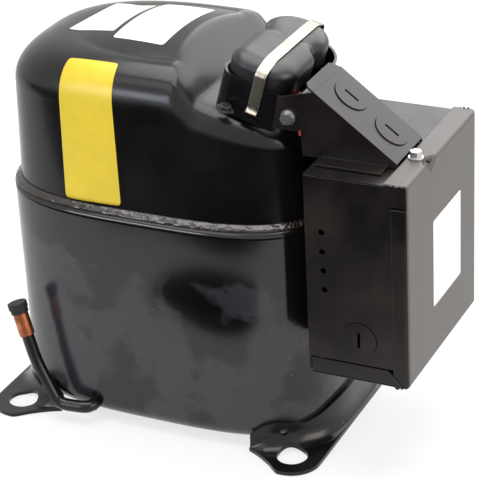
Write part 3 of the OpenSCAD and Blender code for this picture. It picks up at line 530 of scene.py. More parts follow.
@dataclass
class Shell:
    """Two deep-drawn halves lapped and welded round the middle."""

    half_len: float = 108.5
    half_dep: float = 72.5
    crown_z: float = 248.5
    seam_z: float = 148.5
    foot_z: float = 139.5
    wall: float = 3.5
    inset: float = 3.8
    bottom_z: float = 4.0
    bottom_r: float = 12.0
    shoulder_z: float = 214.5
    shoulder_x: float = 37.0
    shoulder_y: float = 22.5
    crown_rise: float = 6.2
    draft: float = 2.0
    shell_pow: float = 3.2
    crown_pow: float = 2.1
    bulge_pow: float = 2.2
    seat: Pair = (68.5, 215.5)
    tilt: float = 16.0
    step_x: float = 36.5
    step_angle: float = 42.0
    seat_lift: float = 10.0
    blend: float = 1.6
    columns: int = 256
    # Where along a half's profile its wall ends and its flat begins
    dome_wall: float = 0.3
    dome_roof: float = 0.75
    pan_wall: float = 0.5
    pan_base: float = 0.8
    ripple_pitch: float = 0.24
    ripple_mm: float = 0.35
    grit_pitch: float = 0.7
    grit_mm: float = 0.26

    def pressed(self, x: float, z: float) -> float:
        """Returns the height of the dome at x once the terminal seat is pressed into it."""
        if z <= self.seam_z:
            return z
        cap = self.seat[1] - (x - self.seat[0]) * math.tan(math.radians(self.tilt))
        cap += max(0.0, self.step_x - x) * math.tan(math.radians(self.step_angle))
        squeeze = min(1.0, (cap + self.seat_lift - self.seam_z) / (self.crown_z - self.seam_z))
        return smooth_min(self.seam_z + (z - self.seam_z) * squeeze, cap, self.blend)

    def dome(self, u: float, v: float) -> Vector:
        """Returns a point of the upper half, from its lapped foot at v 0 to its crown at v 1."""
        a, b = self.half_len - self.inset, self.half_dep - self.inset
        if v < self.dome_wall:
            z = self.foot_z + (self.shoulder_z - self.foot_z) * v / self.dome_wall
            lean = self.draft * max(0.0, (z - self.seam_z) / (self.shoulder_z - self.seam_z))
            x, y = oval(u, a - lean, b - lean, self.shell_pow)
            return Vector((x, y, self.pressed(x, z)))
        a, b = a - self.draft, b - self.draft
        if v < self.dome_roof:
            q = (v - self.dome_wall) / (self.dome_roof - self.dome_wall) * QUARTER
            inward = 1 - math.cos(q) ** (2 / self.bulge_pow)
            rise = math.sin(q) ** (2 / self.bulge_pow)
            power = self.shell_pow + (self.crown_pow - self.shell_pow) * inward
            x, y = oval(u, a - self.shoulder_x * inward, b - self.shoulder_y * inward, power)
            z = self.shoulder_z + (self.crown_z - self.crown_rise - self.shoulder_z) * rise
            return Vector((x, y, self.pressed(x, z)))
        q = max(0.0, 1 - (v - self.dome_roof) / (1 - self.dome_roof))
        x, y = oval(u, (a - self.shoulder_x) * q, (b - self.shoulder_y) * q, self.crown_pow)
        return Vector((x, y, self.pressed(x, self.crown_z - self.crown_rise * q * q)))

    def pan(self, u: float, v: float) -> Vector:
        """Returns a point of the lower half, from its rim at v 0 to the middle of its base at v 1."""
        a, b, r = self.half_len, self.half_dep, self.bottom_r
        if v < self.pan_wall:
            x, y = oval(u, a, b, self.shell_pow)
            return Vector((x, y, self.seam_z - (self.seam_z - self.bottom_z - r) * v / self.pan_wall))
        if v < self.pan_base:
            q = (v - self.pan_wall) / (self.pan_base - self.pan_wall) * QUARTER
            back = r * (1 - math.cos(q))
            x, y = oval(u, a - back, b - back, self.shell_pow)
            return Vector((x, y, self.bottom_z + r * (1 - math.sin(q))))
        q = (1 - v) / (1 - self.pan_base)
        x, y = oval(u, (a - r) * q, (b - r) * q, self.shell_pow)
        return Vector((x, y, self.bottom_z))

    def bead(self, u: float, v: float) -> Vector:
        """Returns a point of the weld fillet, rough along its run."""
        inset, z = self._bead_profile(v % 1.0)
        x, y = oval(u % 1.0, self.half_len - inset, self.half_dep - inset, self.shell_pow)
        out = Vector((x / self.half_len, y / self.half_dep, 0.25)).normalized()
        point = Vector((x, y, z))
        ripple = noise.noise(point * self.ripple_pitch) * self.ripple_mm
        grit = noise.noise(Vector((x, y, z * 1.3)) * self.grit_pitch + Vector((7, 3, 1))) * self.grit_mm
        hidden = inset > self.inset - 0.8 or z < self.seam_z + 0.3
        return point if hidden else point + out * (ripple + grit)

    def _bead_profile(self, v: float) -> Pair:
        """Returns inset and height round the bead's section."""
        points = [(3.8, 0.0), (1.0, 0.0), (0.3, 0.8), (0.6, 1.9), (1.8, 3.0), (3.2, 4.0), (3.8, 4.2), (3.8, 0.0)]
        step = v * (len(points) - 1)
        k = min(int(step), len(points) - 2)
        (a, za), (b, zb) = points[k], points[k + 1]
        return a + (b - a) * (step - k), self.seam_z + za + (zb - za) * (step - k)

    def make(self) -> BVHTree:
        """Builds both halves and the bead, and returns the dome's surface for labels to lie on."""
        upper = surface(self.columns, 150, self.dome)
        lower = surface(self.columns, 60, self.pan)
        skin = BVHTree.FromBMesh(upper)
        for half, node, finish in ((upper, "upper_shell", ENAMEL), (lower, "lower_shell", BLOOM_AND_REFLECTION_ENAMEL)):
            thicken(finished(half, f"{node}_piece", "black_enamel", Body.HOUSING, finish, [node], 60), self.wall)
        bead = surface(900, 28, self.bead)
        finished(bead, "weld_bead_piece", "black_enamel", Body.HOUSING, BEAD, ["weld_bead"], 70)
        return skin


@dataclass
class Label:
    """A bare film with rounded corners, laid on a surface."""

    name: str
    corners: tuple[Spot, ...]
    finish: Finish
    slot: str = "black_enamel"
    body: Body = Body.HOUSING
    lift: float = 0.12
    film: float = 0.1
    round_u: float = 0.1
    round_v: float = 0.05
    cells: int = 40

    def _rounded(self, a: float, b: float) -> Pair:
        """Pulls the grid's corners in to a round corner."""
        da, db = (abs(a) - 1 + self.round_u) / self.round_u, (abs(b) - 1 + self.round_v) / self.round_v
        if da <= 0 or db <= 0:
            return a, b
        pull = max(da, db) / math.hypot(da, db)
        return (
            math.copysign(1 - self.round_u + self.round_u * da * pull, a),
            math.copysign(1 - self.round_v + self.round_v * db * pull, b),
        )

    def make(self, skin: Optional[BVHTree]) -> Piece:
        """Builds the film.

        Args:
            skin: Surface that it lies on, or None on a flat face.

        Returns:
            The piece.
        """
        low_l, low_r, top_r, top_l = (Vector(c) for c in self.corners)

        def place(u: float, v: float) -> Vector:
            a, b = self._rounded(2 * u - 1, 2 * v - 1)
            a, b = (a + 1) / 2, (b + 1) / 2
            flat = low_l.lerp(low_r, a).lerp(top_l.lerp(top_r, a), b)
            if skin is None:
                return flat
            spot, normal, _, _ = skin.find_nearest(flat * MM)
            return spot / MM + normal * self.lift

        mesh = surface(self.cells, self.cells, place)
        film = finished(mesh, self.name, self.slot, self.body, self.finish, crease=60)
        return thicken(film, self.film, 1.0)


# ---- Feet ----


@dataclass
class Foot:
    """A stamped cradle welded under one end of the shell, with two grommet holes."""

    hole: Pair = (95.25, 70.65)
    hole_d: float = 19.05
    plate: float = 3.0
    wall: float = 2.5
    drain: Spot = (83.0, 58.0, 13.2)
    drain_way: Pair = (0.62, 0.78)
    drain_r: float = 2.3
    fillet: float = 9.0
    wall_share: float = 0.3
    flange_share: float = 0.65
    room_share: float = 0.85
    half_len: float = 108.5
    half_dep: float = 72.5
    power: float = 3.2
    # Share along half a foot, cradle wall (y), its rim (z), and edge of the flange (x, y)
    stations: tuple[tuple[float, float, float, float, float], ...] = (
        (0.0, 67.5, 11.0, 66.5, 71.6),
        (0.1, 65.5, 17.0, 74.5, 75.6),
        (0.2, 63.0, 19.5, 84.0, 82.0),
        (0.28, 61.0, 20.0, 91.5, 88.3),
        (0.34, 59.0, 19.5, 95.5, 89.1),
        (0.42, 56.5, 18.5, 102.5, 87.7),
        (0.5, 53.5, 17.5, 108.6, 83.6),
        (0.58, 50.0, 18.0, 112.5, 77.5),
        (0.66, 45.0, 19.5, 113.75, 70.5),
        (0.8, 30.0, 24.0, 113.75, 42.0),
        (1.0, 0.0, 26.0, 113.75, 0.0),
    )

    def _station(self, s: float) -> tuple[float, float, float, float]:
        """Returns wall y, rim height and flange edge at a share along half a foot."""
        last = len(self.stations) - 1
        k = max(i for i in range(last) if s >= self.stations[i][0])
        low, high = self.stations[k], self.stations[k + 1]
        before, after = self.stations[max(0, k - 1)], self.stations[min(last, k + 2)]
        span = high[0] - low[0]
        t = (s - low[0]) / span
        values = []
        for i in range(1, 5):
            leave = (high[i] - before[i]) / (high[0] - before[0]) * span
            arrive = (after[i] - low[i]) / (after[0] - low[0]) * span
            rise, drop = t * t * (3 - 2 * t), t * (1 - t)
            values.append(low[i] + (high[i] - low[i]) * rise + drop * ((1 - t) * leave - t * arrive))
        return tuple(values)

    def _wall(self, y: float) -> tuple[Vector, Vector]:
        """Returns the shell's wall at y and its outward direction."""
        a, b = self.half_len, self.half_dep
        x = a * max(0.0, 1 - (y / b) ** self.power) ** (1 / self.power)
        out = Vector((x ** (self.power - 1) / a**self.power, y ** (self.power - 1) / b**self.power, 0)).normalized()
        return Vector((x, y, 0)), out

    def place(self, u: float, v: float) -> Vector:
        """Returns a point of the top face, from the cradle's rim at v 0 to the flange's edge at v 1."""
        side = -1 if u < 0.5 else 1
        s = 1 - abs(2 * u - 1)
        wall_y, rim, edge_x, edge_y = self._station(s)
        wall, out = self._wall(wall_y)
        clear = 0.3 + self.wall
        edge = Vector((edge_x, edge_y, 0))
        start = wall + out * clear
        room = (edge - start).length
        reach, drop = min(self.fillet, room * self.room_share), min(self.fillet + 2, rim - self.plate)
        towards = (edge - start).normalized().lerp(out, 0.5).normalized()
        if towards.x > 0.5:
            reach = min(reach, (edge.x - start.x) / towards.x * self.room_share)
        low = self.plate + drop
        if v < self.wall_share:
            point = start + Vector((0, 0, rim + (low - rim) * v / self.wall_share))
        else:
            q = min(1.0, (v - self.wall_share) / (self.flange_share - self.wall_share)) * QUARTER
            point = start + towards * reach * (1 - math.cos(q)) + Vector((0, 0, low - drop * math.sin(q)))
            if v > self.flange_share:
                flat = edge + Vector((0, 0, self.plate))
                point = point.lerp(flat, (v - self.flange_share) / (1 - self.flange_share))
        return Vector((point.x, side * point.y, point.z))

    def make(self, name: str, mirror: bool, node: str) -> Piece:
        """Builds one foot.

        Args:
            name: Name of the piece.
            mirror: True for the foot on the -X end.
            node: CAD node that it stands for.

        Returns:
            The piece.
        """
        mesh = surface(240, 44, self.place)
        if sum(f.normal.z for f in mesh.faces) < 0:
            bmesh.ops.reverse_faces(mesh, faces=mesh.faces)
        foot = thicken(finished(mesh, name, "black_enamel", replaces=[node]), self.wall)
        cutters = []
        for side in (-1, 1):
            x, y = self.hole[0], side * self.hole[1]
            cutters.append(rod(Vector((x, y, -6)), Vector((x, y, 12)), self.hole_d / 2, 96))
            drain = Vector((self.drain[0], side * self.drain[1], self.drain[2]))
            out = Vector((self.drain_way[0], side * self.drain_way[1], 0))
            cutters.append(rod(drain - out * 3, drain + out * 14, self.drain_r))
        carve(foot, cutters)
        if mirror:
            foot.data.transform(Matrix.Diagonal((-1, 1, 1, 1)))
            foot.data.flip_normals()
        return foot


# ---- Terminal ----


@dataclass
class Seat:
    """Tilted plane of the terminal, in which its pieces are laid out."""

    origin: Vector = field(default_factory=lambda: Vector((68.5, -13.5, 215.5)))
    tilt: float = 16.0

    def at(self, u: float, v: float, h: float) -> Vector:
        """Returns the point at u along the slope, v across it and h above it."""
        a = math.radians(self.tilt)
        return self.origin + Vector((u * math.cos(a) + h * math.sin(a), v, h * math.cos(a) - u * math.sin(a)))


@dataclass
class TerminalCover:
    """Moulded cover with a wide front body and a round back lobe."""

    seat: Seat
    body_u: float = 22.5
    body_mid: float = -2.5
    front: float = 41.8
    back: float = 14.0
    corner: float = 16.0
    lobe: Spot = (-3.5, 18.5, 22.2)
    # Middle (u, v) and radius of the hollows between the body and the lobe
    hollows: tuple[Spot, ...] = ((-28.5, 12.0, 6.5), (22.0, 6.5, 7.5))
    inset: float = 1.9
    base: float = 20.0
    top: float = 37.4
    crown_in: float = 10.0
    crown_drop: float = 7.0
    middle: float = -4.0
    wall: float = 2.2
    wall_share: float = 0.25
    roof_share: float = 0.7
    web: float = 0.7

    def reach(self, angle: float, shrink: float) -> float:
        """Returns how far the outline lies from the middle along an angle.

        Args:
            angle: Direction in the seat's plane, in radians.
            shrink: Inward offset of the outline.

        Returns:
            Distance in millimetres.
        """
        c, s = math.cos(angle), math.sin(angle)
        core_v = (self.back - self.front) / 2
        half_u, half_v = self.body_u - self.corner, (self.back + self.front) / 2 - self.corner
        radius = self.corner - shrink
        low, high = 0.0, 90.0
        for _ in range(30):
            mid = (low + high) / 2
            du, dv = abs(mid * c - self.body_mid) - half_u, abs(mid * s + self.middle - core_v) - half_v
            gap = math.hypot(max(du, 0), max(dv, 0)) + min(max(du, dv), 0) - radius
            lobe = math.hypot(mid * c - self.lobe[0], mid * s + self.middle - self.lobe[1]) - (self.lobe[2] - shrink)
            inside = smooth_min(gap, lobe, self.web)
            for hu, hv, hr in self.hollows:
                hollow = hr + shrink * 0.6 - math.hypot(mid * c - hu, mid * s + self.middle - hv)
                inside = -smooth_min(-inside, -hollow, self.web)
            low, high = (mid, high) if inside < 0 else (low, mid)
        return low

    def place(self, u: float, v: float) -> Vector:
        """Returns a point of the outer skin, from its foot at v 0 to its crown at v 1."""
        angle = 2 * math.pi * u
        shrink, height, scale = 0.0, self.top, 1.0
        if v < self.wall_share:
            height = self.base + (self.top - self.crown_drop - self.base) * v / self.wall_share
        elif v < self.roof_share:
            q = (v - self.wall_share) / (self.roof_share - self.wall_share) * QUARTER
            shrink = self.crown_in * (1 - math.cos(q))
            height = self.top - self.crown_drop * (1 - math.sin(q))
        else:
            shrink, scale = self.crown_in, max(0.0, 1 - (v - self.roof_share) / (1 - self.roof_share))
        r = self.reach(angle, self.inset + shrink) * scale
        return self.seat.at(r * math.cos(angle), self.middle + r * math.sin(angle), height)

    def make(self) -> Piece:
        """Builds the cover."""
        mesh = surface(240, 60, self.place)
        cap = Body.TERMINAL_CAP
        cover = finished(mesh, "terminal_cover_piece", "moulded_black", cap, replaces=["terminal_cover"], crease=60)
        return thicken(cover, self.wall)


@dataclass
class Bail:
    """Spring strap over the cover, with soft bends and hooked ends."""

    seat: Seat
    middle_u: float = 1.5
    width: float = 7.0
    gauge: float = 0.8
    # Path across the slope (v, h) of one half, from the hooked end to the middle
    path: tuple[Pair, ...] = (
        (-44.8, 7.6), (-43.0, 7.9), (-42.5, 10.4), (-42.4, 33.5), (-30.2, 38.0), (0.0, 38.2),
    )
    bend: float = 3.5
    steps: int = 6

    def route(self) -> list[Vector]:
        """Returns the rounded path from end to end as (v, h) points."""
        half = [Vector((v, h)) for v, h in self.path]
        points = [half[0]]
        for before, corner, after in zip(half, half[1:], half[2:]):
            cut = min(self.bend, (before - corner).length * 0.45, (after - corner).length * 0.45)
            a, b = corner + (before - corner).normalized() * cut, corner + (after - corner).normalized() * cut
            for k in range(self.steps + 1):
                t = k / self.steps
                points.append(a.lerp(corner, t).lerp(corner.lerp(b, t), t))
        points.append(half[-1])
        return points + [Vector((-p.x, p.y)) for p in reversed(points[:-1])]

    def make(self) -> Piece:
        """Builds the strap."""
        points = self.route()

        def place(u: float, v: float) -> Vector:
            spot = points[min(len(points) - 1, round(v * (len(points) - 1)))]
            return self.seat.at(self.middle_u + (u - 0.5) * self.width, spot.x, spot.y)

        mesh = surface(4, len(points) - 1, place)
        strap = finished(mesh, "bail_strap_piece", "stainless", Body.BAIL, replaces=["bail_strap"], crease=50)
        thicken(strap, self.gauge, 0.0)
        edge = strap.modifiers.new("edge", "BEVEL")
        edge.width, edge.segments, edge.limit_method = 0.2 * MM, 2, "ANGLE"
        return strap


# ---- Relay box ----


def plate(points: Sequence[Spot], depth: Spot, edge: float = 0.25) -> Mesh:
    """Returns a flat plate with softened edges.

    Args:
        points: Outline in millimetres.
        depth: Vector through its thickness.
        edge: Edge radius.

    Returns:
        A new bmesh in metres.
    """
    mesh = bmesh.new()
    face = mesh.faces.new([mesh.verts.new(Vector(p) * MM) for p in points])
    grown = bmesh.ops.extrude_face_region(mesh, geom=[face], use_keep_orig=True)["geom"]
    verts = [part for part in grown if isinstance(part, bmesh.types.BMVert)]
    bmesh.ops.translate(mesh, vec=Vector(depth) * MM, verts=verts)
    bmesh.ops.recalc_face_normals(mesh, faces=mesh.faces)
    bmesh.ops.bevel(
        mesh, geom=list(mesh.edges), offset=edge * MM, segments=2, profile=0.5, affect="EDGES", material=-1,
        clamp_overlap=True,
    )
    return mesh


def sheet_piece(
    name: str, mesh: Mesh, body: Body = Body.HOUSING, finish: Optional[Finish] = None
) -> Piece:
    """Returns a flat piece of the painted box."""
    return even_out(finished(mesh, name, "box_black", body, finish))


@dataclass
class TopStrip:
    """Turned-down edge of the box's roof, spot-welded over its front."""

    left: float = 113.4
    right: float = 170.6
    low: float = 187.4
    high: float = 199.2
    face_y: float = -78.45
    gauge: float = 0.5
    round: float = 4.0
    steps: int = 8

    def make(self) -> None:
        """Builds the strip, rounded at its right end."""
        outline = [(self.left, self.face_y, self.low)]
        for k in range(self.steps + 1):
            turn = QUARTER * k / self.steps
            x = self.right - self.round * (1 - math.sin(turn))
            outline.append((x, self.face_y, self.low + self.round * (1 - math.cos(turn))))
        outline += [(self.right + 1.5, self.face_y, self.high), (self.left, self.face_y, self.high)]
        sheet_piece("box_top_strip", plate(outline, (0, -self.gauge, 0), 0.15))


@dataclass
class ArmLip:
    """End of the sloping arm plate that laps up towards the terminal cover, with clipped corners."""

    top: Pair = (111.3, 240.5)
    foot: Pair = (161.3, 202.9)
    front: float = -56.3
    back: float = -16.2
    reach: float = 7.0
    clip: float = 2.6
    gauge: float = 1.2

    def make(self) -> None:
        """Builds the lip."""
        along = Vector((self.top[0] - self.foot[0], 0, self.top[1] - self.foot[1])).normalized()
        into = Vector((along.z, 0, -along.x)) * -self.gauge
        start = Vector((self.top[0], 0, self.top[1])) - along * 0.6

        def at(reach: float, y: float) -> Spot:
            spot = start + along * reach
            return (spot.x, y, spot.z)

        short = self.reach - self.clip
        outline = [
            at(0, self.front), at(short, self.front), at(self.reach, self.front + self.clip),
            at(self.reach, self.back - 2 * self.clip), at(short, self.back - self.clip), at(0, self.back),
        ]
        sheet_piece("box_arm_lip", plate(outline, tuple(into)))


@dataclass
class BoxCover:
    """Folded cover of the relay box, with a dented corner for its screw."""

    face_x: float = 175.7
    front: float = -78.8
    back: float = 35.4
    low: float = 71.2
    top: float = 201.3
    side_flange: float = 9.8
    top_flange: float = 14.0
    bend: float = 2.4
    gauge: float = 1.2
    inner_x: float = 114.8
    lip: float = 10.2
    mitre: float = 13.0
    flange_top: float = 185.8
    seam: float = 0.35
    dent_y: float = -41.0
    dent_depth: float = 7.5
    dent_slope: float = 0.75
    facing: float = 0.6

    def _fold(self, s: float, low: float, high: float, flange: float) -> Pair:
        """Returns the place across the panel and the depth behind its face.

        Args:
            s: Distance along the unfolded sheet.
            low: Lower edge of the panel.
            high: Upper edge of the panel.
            flange: Depth of the flange beyond the bend.

        Returns:
            Place and depth in millimetres.
        """
        r = self.bend
        arc = r * QUARTER
        for edge, sign in ((low, -1.0), (high, 1.0)):
            past = (s - edge) * sign + r
            if past <= 0:
                continue
            if past < arc:
                return edge - sign * r * (1 - math.sin(past / r)), r * (1 - math.cos(past / r))
            return edge, min(r + past - arc, r + flange)
        return s, 0.0

    def place(self, u: float, v: float) -> Vector:
        """Returns a point of the folded sheet's outer side."""
        span = self.bend * (math.pi / 2 - 1)
        s = self.front - self.side_flange - span + u * (self.back - self.front + 2 * (self.side_flange + span))
        t = self.low - self.side_flange - span
        t += v * (self.top - self.low + self.side_flange + self.top_flange + 2 * span)
        y, deep = self._fold(s, self.front, self.back, self.side_flange - self.bend)
        flange = self.top_flange if t > self.top else self.side_flange
        z, deeper = self._fold(t, self.low, self.top, flange - self.bend)
        x = self.face_x - max(deep, deeper)
        depth = self.dent_depth - abs(y - self.dent_y) * self.dent_slope
        over = (x - self.face_x) + (z - self.top) + depth
        if depth > 0 and over > 0:
            x, z = x - over / 2, z - over / 2
        return Vector((x, y, z))

    def _clip(self, mesh: Mesh) -> None:
        """Clips both side flanges: a mitre at the foot and a square end at the top.

        Args:
            mesh: The folded sheet, still without its wall.
        """
        foot = Vector((self.face_x - self.mitre + self.seam, 0, self.low + self.lip + self.seam))
        corner = Vector((self.face_x - 1.6, 0, self.low + self.seam))
        run = (corner - foot).normalized()
        down = Vector((run.z, 0, -run.x))
        head = Vector((0, 0, self.flange_top))
        for side in (-1, 1):
            for spot, normal in ((foot, down), (head, Vector((0, 0, 1)))):
                faces = [f for f in mesh.faces if f.normal.y * side > self.facing]
                parts = {*faces, *(e for f in faces for e in f.edges), *(v for f in faces for v in f.verts)}
                bmesh.ops.bisect_plane(mesh, geom=list(parts), plane_co=spot * MM, plane_no=normal, dist=1e-7)
                doomed = [
                    f for f in mesh.faces
                    if f.normal.y * side > self.facing and (f.calc_center_median() - spot * MM).dot(normal) > 0
                ]
                bmesh.ops.delete(mesh, geom=doomed, context="FACES")

    def make(self) -> None:
        """Builds the folded sheet, its floor and its lips."""
        folded = surface(150, 170, self.place)
        self._clip(folded)
        sheet = finished(folded, "box_cover_piece", "box_black", Body.BOX_LID, LIT_SIDE_LID_PAINT, ["box_cover"], 50)
        # Painted light and shade: faces turned to the front take the darker box paint, the rest keep the lighter lid
        # paint.
        sheet.data.materials.append(SHEET_PAINT.build())
        for panel in sheet.data.polygons:
            panel.material_index = int(panel.normal.y < -self.facing)
        thicken(sheet, self.gauge)
        edge_x = self.face_x - self.side_flange + 1
        floor = [
            (self.inner_x, self.front, self.low), (edge_x, self.front, self.low),
            (edge_x, self.back, self.low), (self.inner_x, self.back, self.low),
        ]
        sheet_piece("box_cover_floor", plate(floor, (0, 0, self.gauge)), Body.BOX_LID, LIT_SIDE_LID_PAINT)
        for name, y, inward in (("front", self.front, self.gauge), ("back", self.back, -self.gauge)):
            lip = [
                (self.inner_x, y, self.low), (self.face_x - 1.9, y, self.low + 0.2),
                (self.face_x - self.mitre, y, self.low + self.lip), (self.inner_x, y, self.low + self.lip),
            ]
            sheet_piece(f"box_cover_{name}_lip", plate(lip, (0, inward, 0)), Body.BOX_LID)


# ---- Studio ----


@dataclass
class Studio:
    """Pale floor, soft boxes and the camera."""

    eye: Spot = (552.1, -1041.8, 692.4)
    right: Spot = (0.9042, 0.4244, -0.0478)
    up: Spot = (-0.1523, 0.4251, 0.8922)
    back: Spot = (0.3990, -0.7995, 0.4490)
    lens: float = 155.4
    ambient: float = 0.35
    floor_glow: float = 0.72

    def camera(self) -> None:
        """Places the camera and makes it the scene's own."""
        data = bpy.data.cameras.new("studio_camera")
        data.lens, data.sensor_width, data.sensor_fit = self.lens, 36.0, "HORIZONTAL"
        data.clip_start, data.clip_end = 0.01, 50.0
        camera = bpy.data.objects.new("studio_camera", data)
        axes = Matrix((self.right, self.up, self.back)).transposed().to_4x4()
        camera.matrix_world = Matrix.Translation(Vector(self.eye) * MM) @ axes
        bpy.context.scene.collection.objects.link(camera)
        bpy.context.scene.camera = camera

    @staticmethod
    def _seen_directly(tree: bpy.types.NodeTree) -> bpy.types.NodeSocket:
        """Returns 1 for camera, glossy and transmission rays, else 0."""
        path = add(tree, "ShaderNodeLightPath")
        both = maths(tree, "MAXIMUM", path.outputs["Is Camera Ray"], path.outputs["Is Glossy Ray"])
        return maths(tree, "MAXIMUM", both, path.outputs["Is Transmission Ray"])

    def world(self) -> None:
        """Sets a white backdrop and a plain ambient light."""
        world = bpy.data.worlds.new("studio")
        tree = fresh_tree(world)
        dim = add(tree, "ShaderNodeBackground", {"Color": linear("#ffffff"), "Strength": self.ambient})
        white = add(tree, "ShaderNodeBackground", {"Color": linear("#ffffff"), "Strength": 1.0})
        mix = add(tree, "ShaderNodeMixShader", {0: self._seen_directly(tree), 1: dim.outputs[0], 2: white.outputs[0]})
        add(tree, "ShaderNodeOutputWorld", {"Surface": mix.outputs[0]})
        bpy.context.scene.world = world

    def floor(self) -> None:
        """Lays a wide pale floor that keeps the shadow."""
        mesh = bmesh.new()
        bmesh.ops.create_grid(mesh, x_segments=8, y_segments=8, size=4.0)
        floor = loose(mesh, "floor")
        material = bpy.data.materials.new("matt_white_paper")
        tree = fresh_tree(material)
        paper = add(tree, "ShaderNodeBsdfPrincipled", {"Base Color": linear("#f2f2f2"), "Roughness": 0.9})
        glow = add(tree, "ShaderNodeEmission", {"Color": linear("#ffffff"), "Strength": 1.0})
        share = maths(tree, "MULTIPLY", self._seen_directly(tree), self.floor_glow)
        mix = add(tree, "ShaderNodeMixShader", {0: share, 1: paper.outputs[0], 2: glow.outputs[0]})
        add(tree, "ShaderNodeOutputMaterial", {"Surface": mix.outputs[0]})
        floor.data.materials.append(material)

    def flag(self) -> None:
        """Lays black cloth on the floor in front, out of sight, that only reflections meet."""
        mesh = bmesh.new()
        bmesh.ops.create_grid(mesh, x_segments=1, y_segments=1, size=1.0)
        bmesh.ops.scale(mesh, vec=(2.2, 1.5, 1.0), verts=mesh.verts)
        bmesh.ops.translate(mesh, vec=(-0.3, -1.826, 0.002), verts=mesh.verts)
        # A dark oval on the floor under the shell's front, seen only in reflections, that shows as a dark patch low
        # on the lower shell.
        spot = bmesh.ops.create_circle(mesh, cap_ends=True, segments=48, radius=1.0)["verts"]
        bmesh.ops.scale(mesh, vec=(0.108, 0.048, 1.0), verts=spot)
        bmesh.ops.translate(mesh, vec=(0.02, -0.25, 0.003), verts=spot)
        card = loose(mesh, "floor_flag")
        card.visible_camera = card.visible_diffuse = card.visible_shadow = False
        material = bpy.data.materials.new("black_flag_cloth")
        tree = fresh_tree(material)
        cloth = add(tree, "ShaderNodeBsdfDiffuse", {"Color": linear("#060606")})
        add(tree, "ShaderNodeOutputMaterial", {"Surface": cloth.outputs[0]})
        card.data.materials.append(material)

    @staticmethod
    def lights() -> None:
        """Hangs rectangular soft boxes, in metres: overhead, in front and on each side."""
        aim = Vector((0.0, 0.0, 0.13))
        for name, spot, size, watts, tint in (
            ("overhead", (0.0, 0.05, 1.5), (1.5, 1.4), 28, "#ffffff"),
            ("front_left", (-0.62, -1.2, 0.5), (0.7, 0.26), 4.5, "#eaf0ff"),
            ("front_fill", (-0.5, -1.3, 1.5), (1.2, 0.5), 3.5, "#ffffff"),
            ("right_side", (1.5, -0.3, 0.7), (0.9, 0.9), 12, "#fff4e8"),
            ("rear_rim", (0.3, 1.4, 1.1), (1.9, 1.4), 21, "#ffffff"),
        ):
            data = bpy.data.lights.new(name, "AREA")
            data.shape, data.size, data.size_y = "RECTANGLE", *size
            data.energy, data.color = watts, linear(tint)[:3]
            lamp = bpy.data.objects.new(name, data)
            turn = (aim - Vector(spot)).to_track_quat("-Z", "Y").to_matrix().to_4x4()
            lamp.matrix_world = Matrix.Translation(spot) @ turn
            bpy.context.scene.collection.objects.link(lamp)

    def make(self) -> None:
        """Builds the whole studio."""
        self.camera()
        self.world()
        self.floor()
        self.flag()
        self.lights()
        bpy.context.scene.view_settings.view_transform = "Standard"


# ---- Assembly ----


def refined_pieces() -> list[Refined]:
    """Returns the CAD solids that are shown with softened edges."""
    return [
        Refined("box_bracket", edge=0.5),
        Refined("discharge_tube", edge=0.0),
        Refined("discharge_stub", "copper", 0.25),
        Refined("discharge_cap", "rubber", 0.7, 3, Body.DISCHARGE_PLUG),
        Refined("suction_tube", "copper", 0.25),
        Refined("suction_cap", "rubber", 0.8, 3, Body.SUCTION_PLUG),
        Refined("terminal_fence"),
        Refined("ground_lug", "zinc", finish=GROUND_COAT),
        Refined("ground_screw", "zinc", 0.4, 3, finish=GROUND_COAT),
        Refined("relay_box", "box_black"),
        Refined("cover_screw", "zinc", body=Body.BOX_LID),
        Refined("box_arm", "box_black"),
        Refined("arm_screw", "zinc"),
        Refined("knockout_slugs", "box_black", 0.2),
    ]


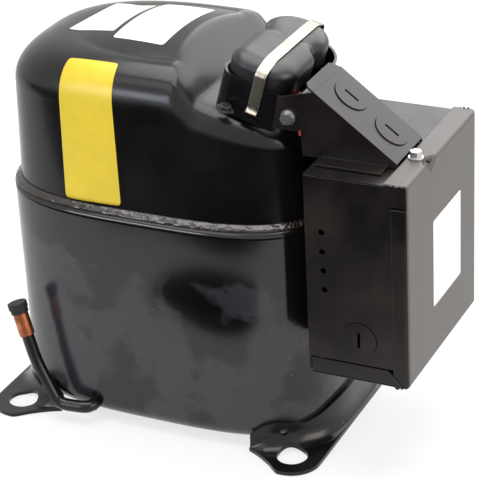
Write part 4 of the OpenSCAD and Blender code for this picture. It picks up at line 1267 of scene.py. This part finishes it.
def labels() -> list[Label]:
    """Returns the bare films on the dome."""
    return [
        Label(
            "wall_film",
            ((-51.5, -66.4, 153.3), (-12.2, -68.6, 154.6), (-14.5, -53.4, 240.2), (-49.0, -51.2, 238.8)),
            YELLOW_FILM, round_u=0.14, round_v=0.06,
        ),
        Label(
            "crown_film_left",
            ((-68.8, -16.8, 242.0), (-36.0, -19.0, 245.5), (-32.9, 31.9, 243.8), (-62.1, 33.9, 241.4)),
            CREAM_FILM, round_u=0.08, round_v=0.05,
        ),
        Label(
            "crown_film_right",
            ((-32.8, -26.8, 244.8), (3.4, -30.6, 245.4), (7.0, 34.2, 244.7), (-29.3, 39.9, 242.3)),
            WHITE_FILM, round_u=0.12, round_v=0.07,
        ),
    ]


def dress_nodes(frame: dict) -> None:
    """Gives every CAD solid the finish of its material slot."""
    slots = {part["node"]: part["material_slot"] for part in frame["record"]["subparts"]}
    for name, node in frame["nodes"].items():
        finish = NODE_FINISH.get(name, SLOT_FINISH[slots[name]])
        node.data.materials.clear()
        node.data.materials.append(finish.build())


def main() -> None:
    """Builds the studio and every piece in order."""
    logging.basicConfig(level=logging.INFO, format="%(name)s: %(message)s")
    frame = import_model()
    Studio().make()
    dress_nodes(frame)
    skin = Shell().make()
    for label in labels():
        label.make(skin)
    foot = Foot()
    right_foot = foot.make("foot_right_piece", False, "foot_right")
    foot.make("foot_left_piece", True, "foot_left")
    for piece in refined_pieces():
        piece.make(frame)
    TerminalCover(Seat()).make()
    Bail(Seat()).make()
    ArmLip().make()
    TopStrip().make()
    BoxCover().make()
    Label(
        "lid_film",
        ((175.7, -38.0, 105.0), (175.7, 8.0, 105.0), (175.7, 8.0, 161.0), (175.7, -38.0, 161.0)),
        WHITE_FILM, "box_black", Body.BOX_LID, round_u=0.06, round_v=0.05,
    ).make(None)
    Label(
        "arm_daub",
        ((101.2, -56.6, 211.9), (103.0, -56.6, 212.4), (102.6, -56.6, 216.2), (101.6, -56.6, 215.6)),
        RED_DAUB, "box_black", round_u=0.9, round_v=0.9, cells=12,
    ).make(None)
    Label(
        "foot_daub",
        ((108.2, -29.0, 6.0), (111.0, -28.8, 4.6), (111.2, -27.2, 4.6), (108.4, -27.3, 6.0)),
        RED_DAUB, round_u=0.9, round_v=0.9, cells=12,
    ).make(BVHTree.FromObject(right_foot, bpy.context.evaluated_depsgraph_get()))


if __name__ == "__main__":
    main()
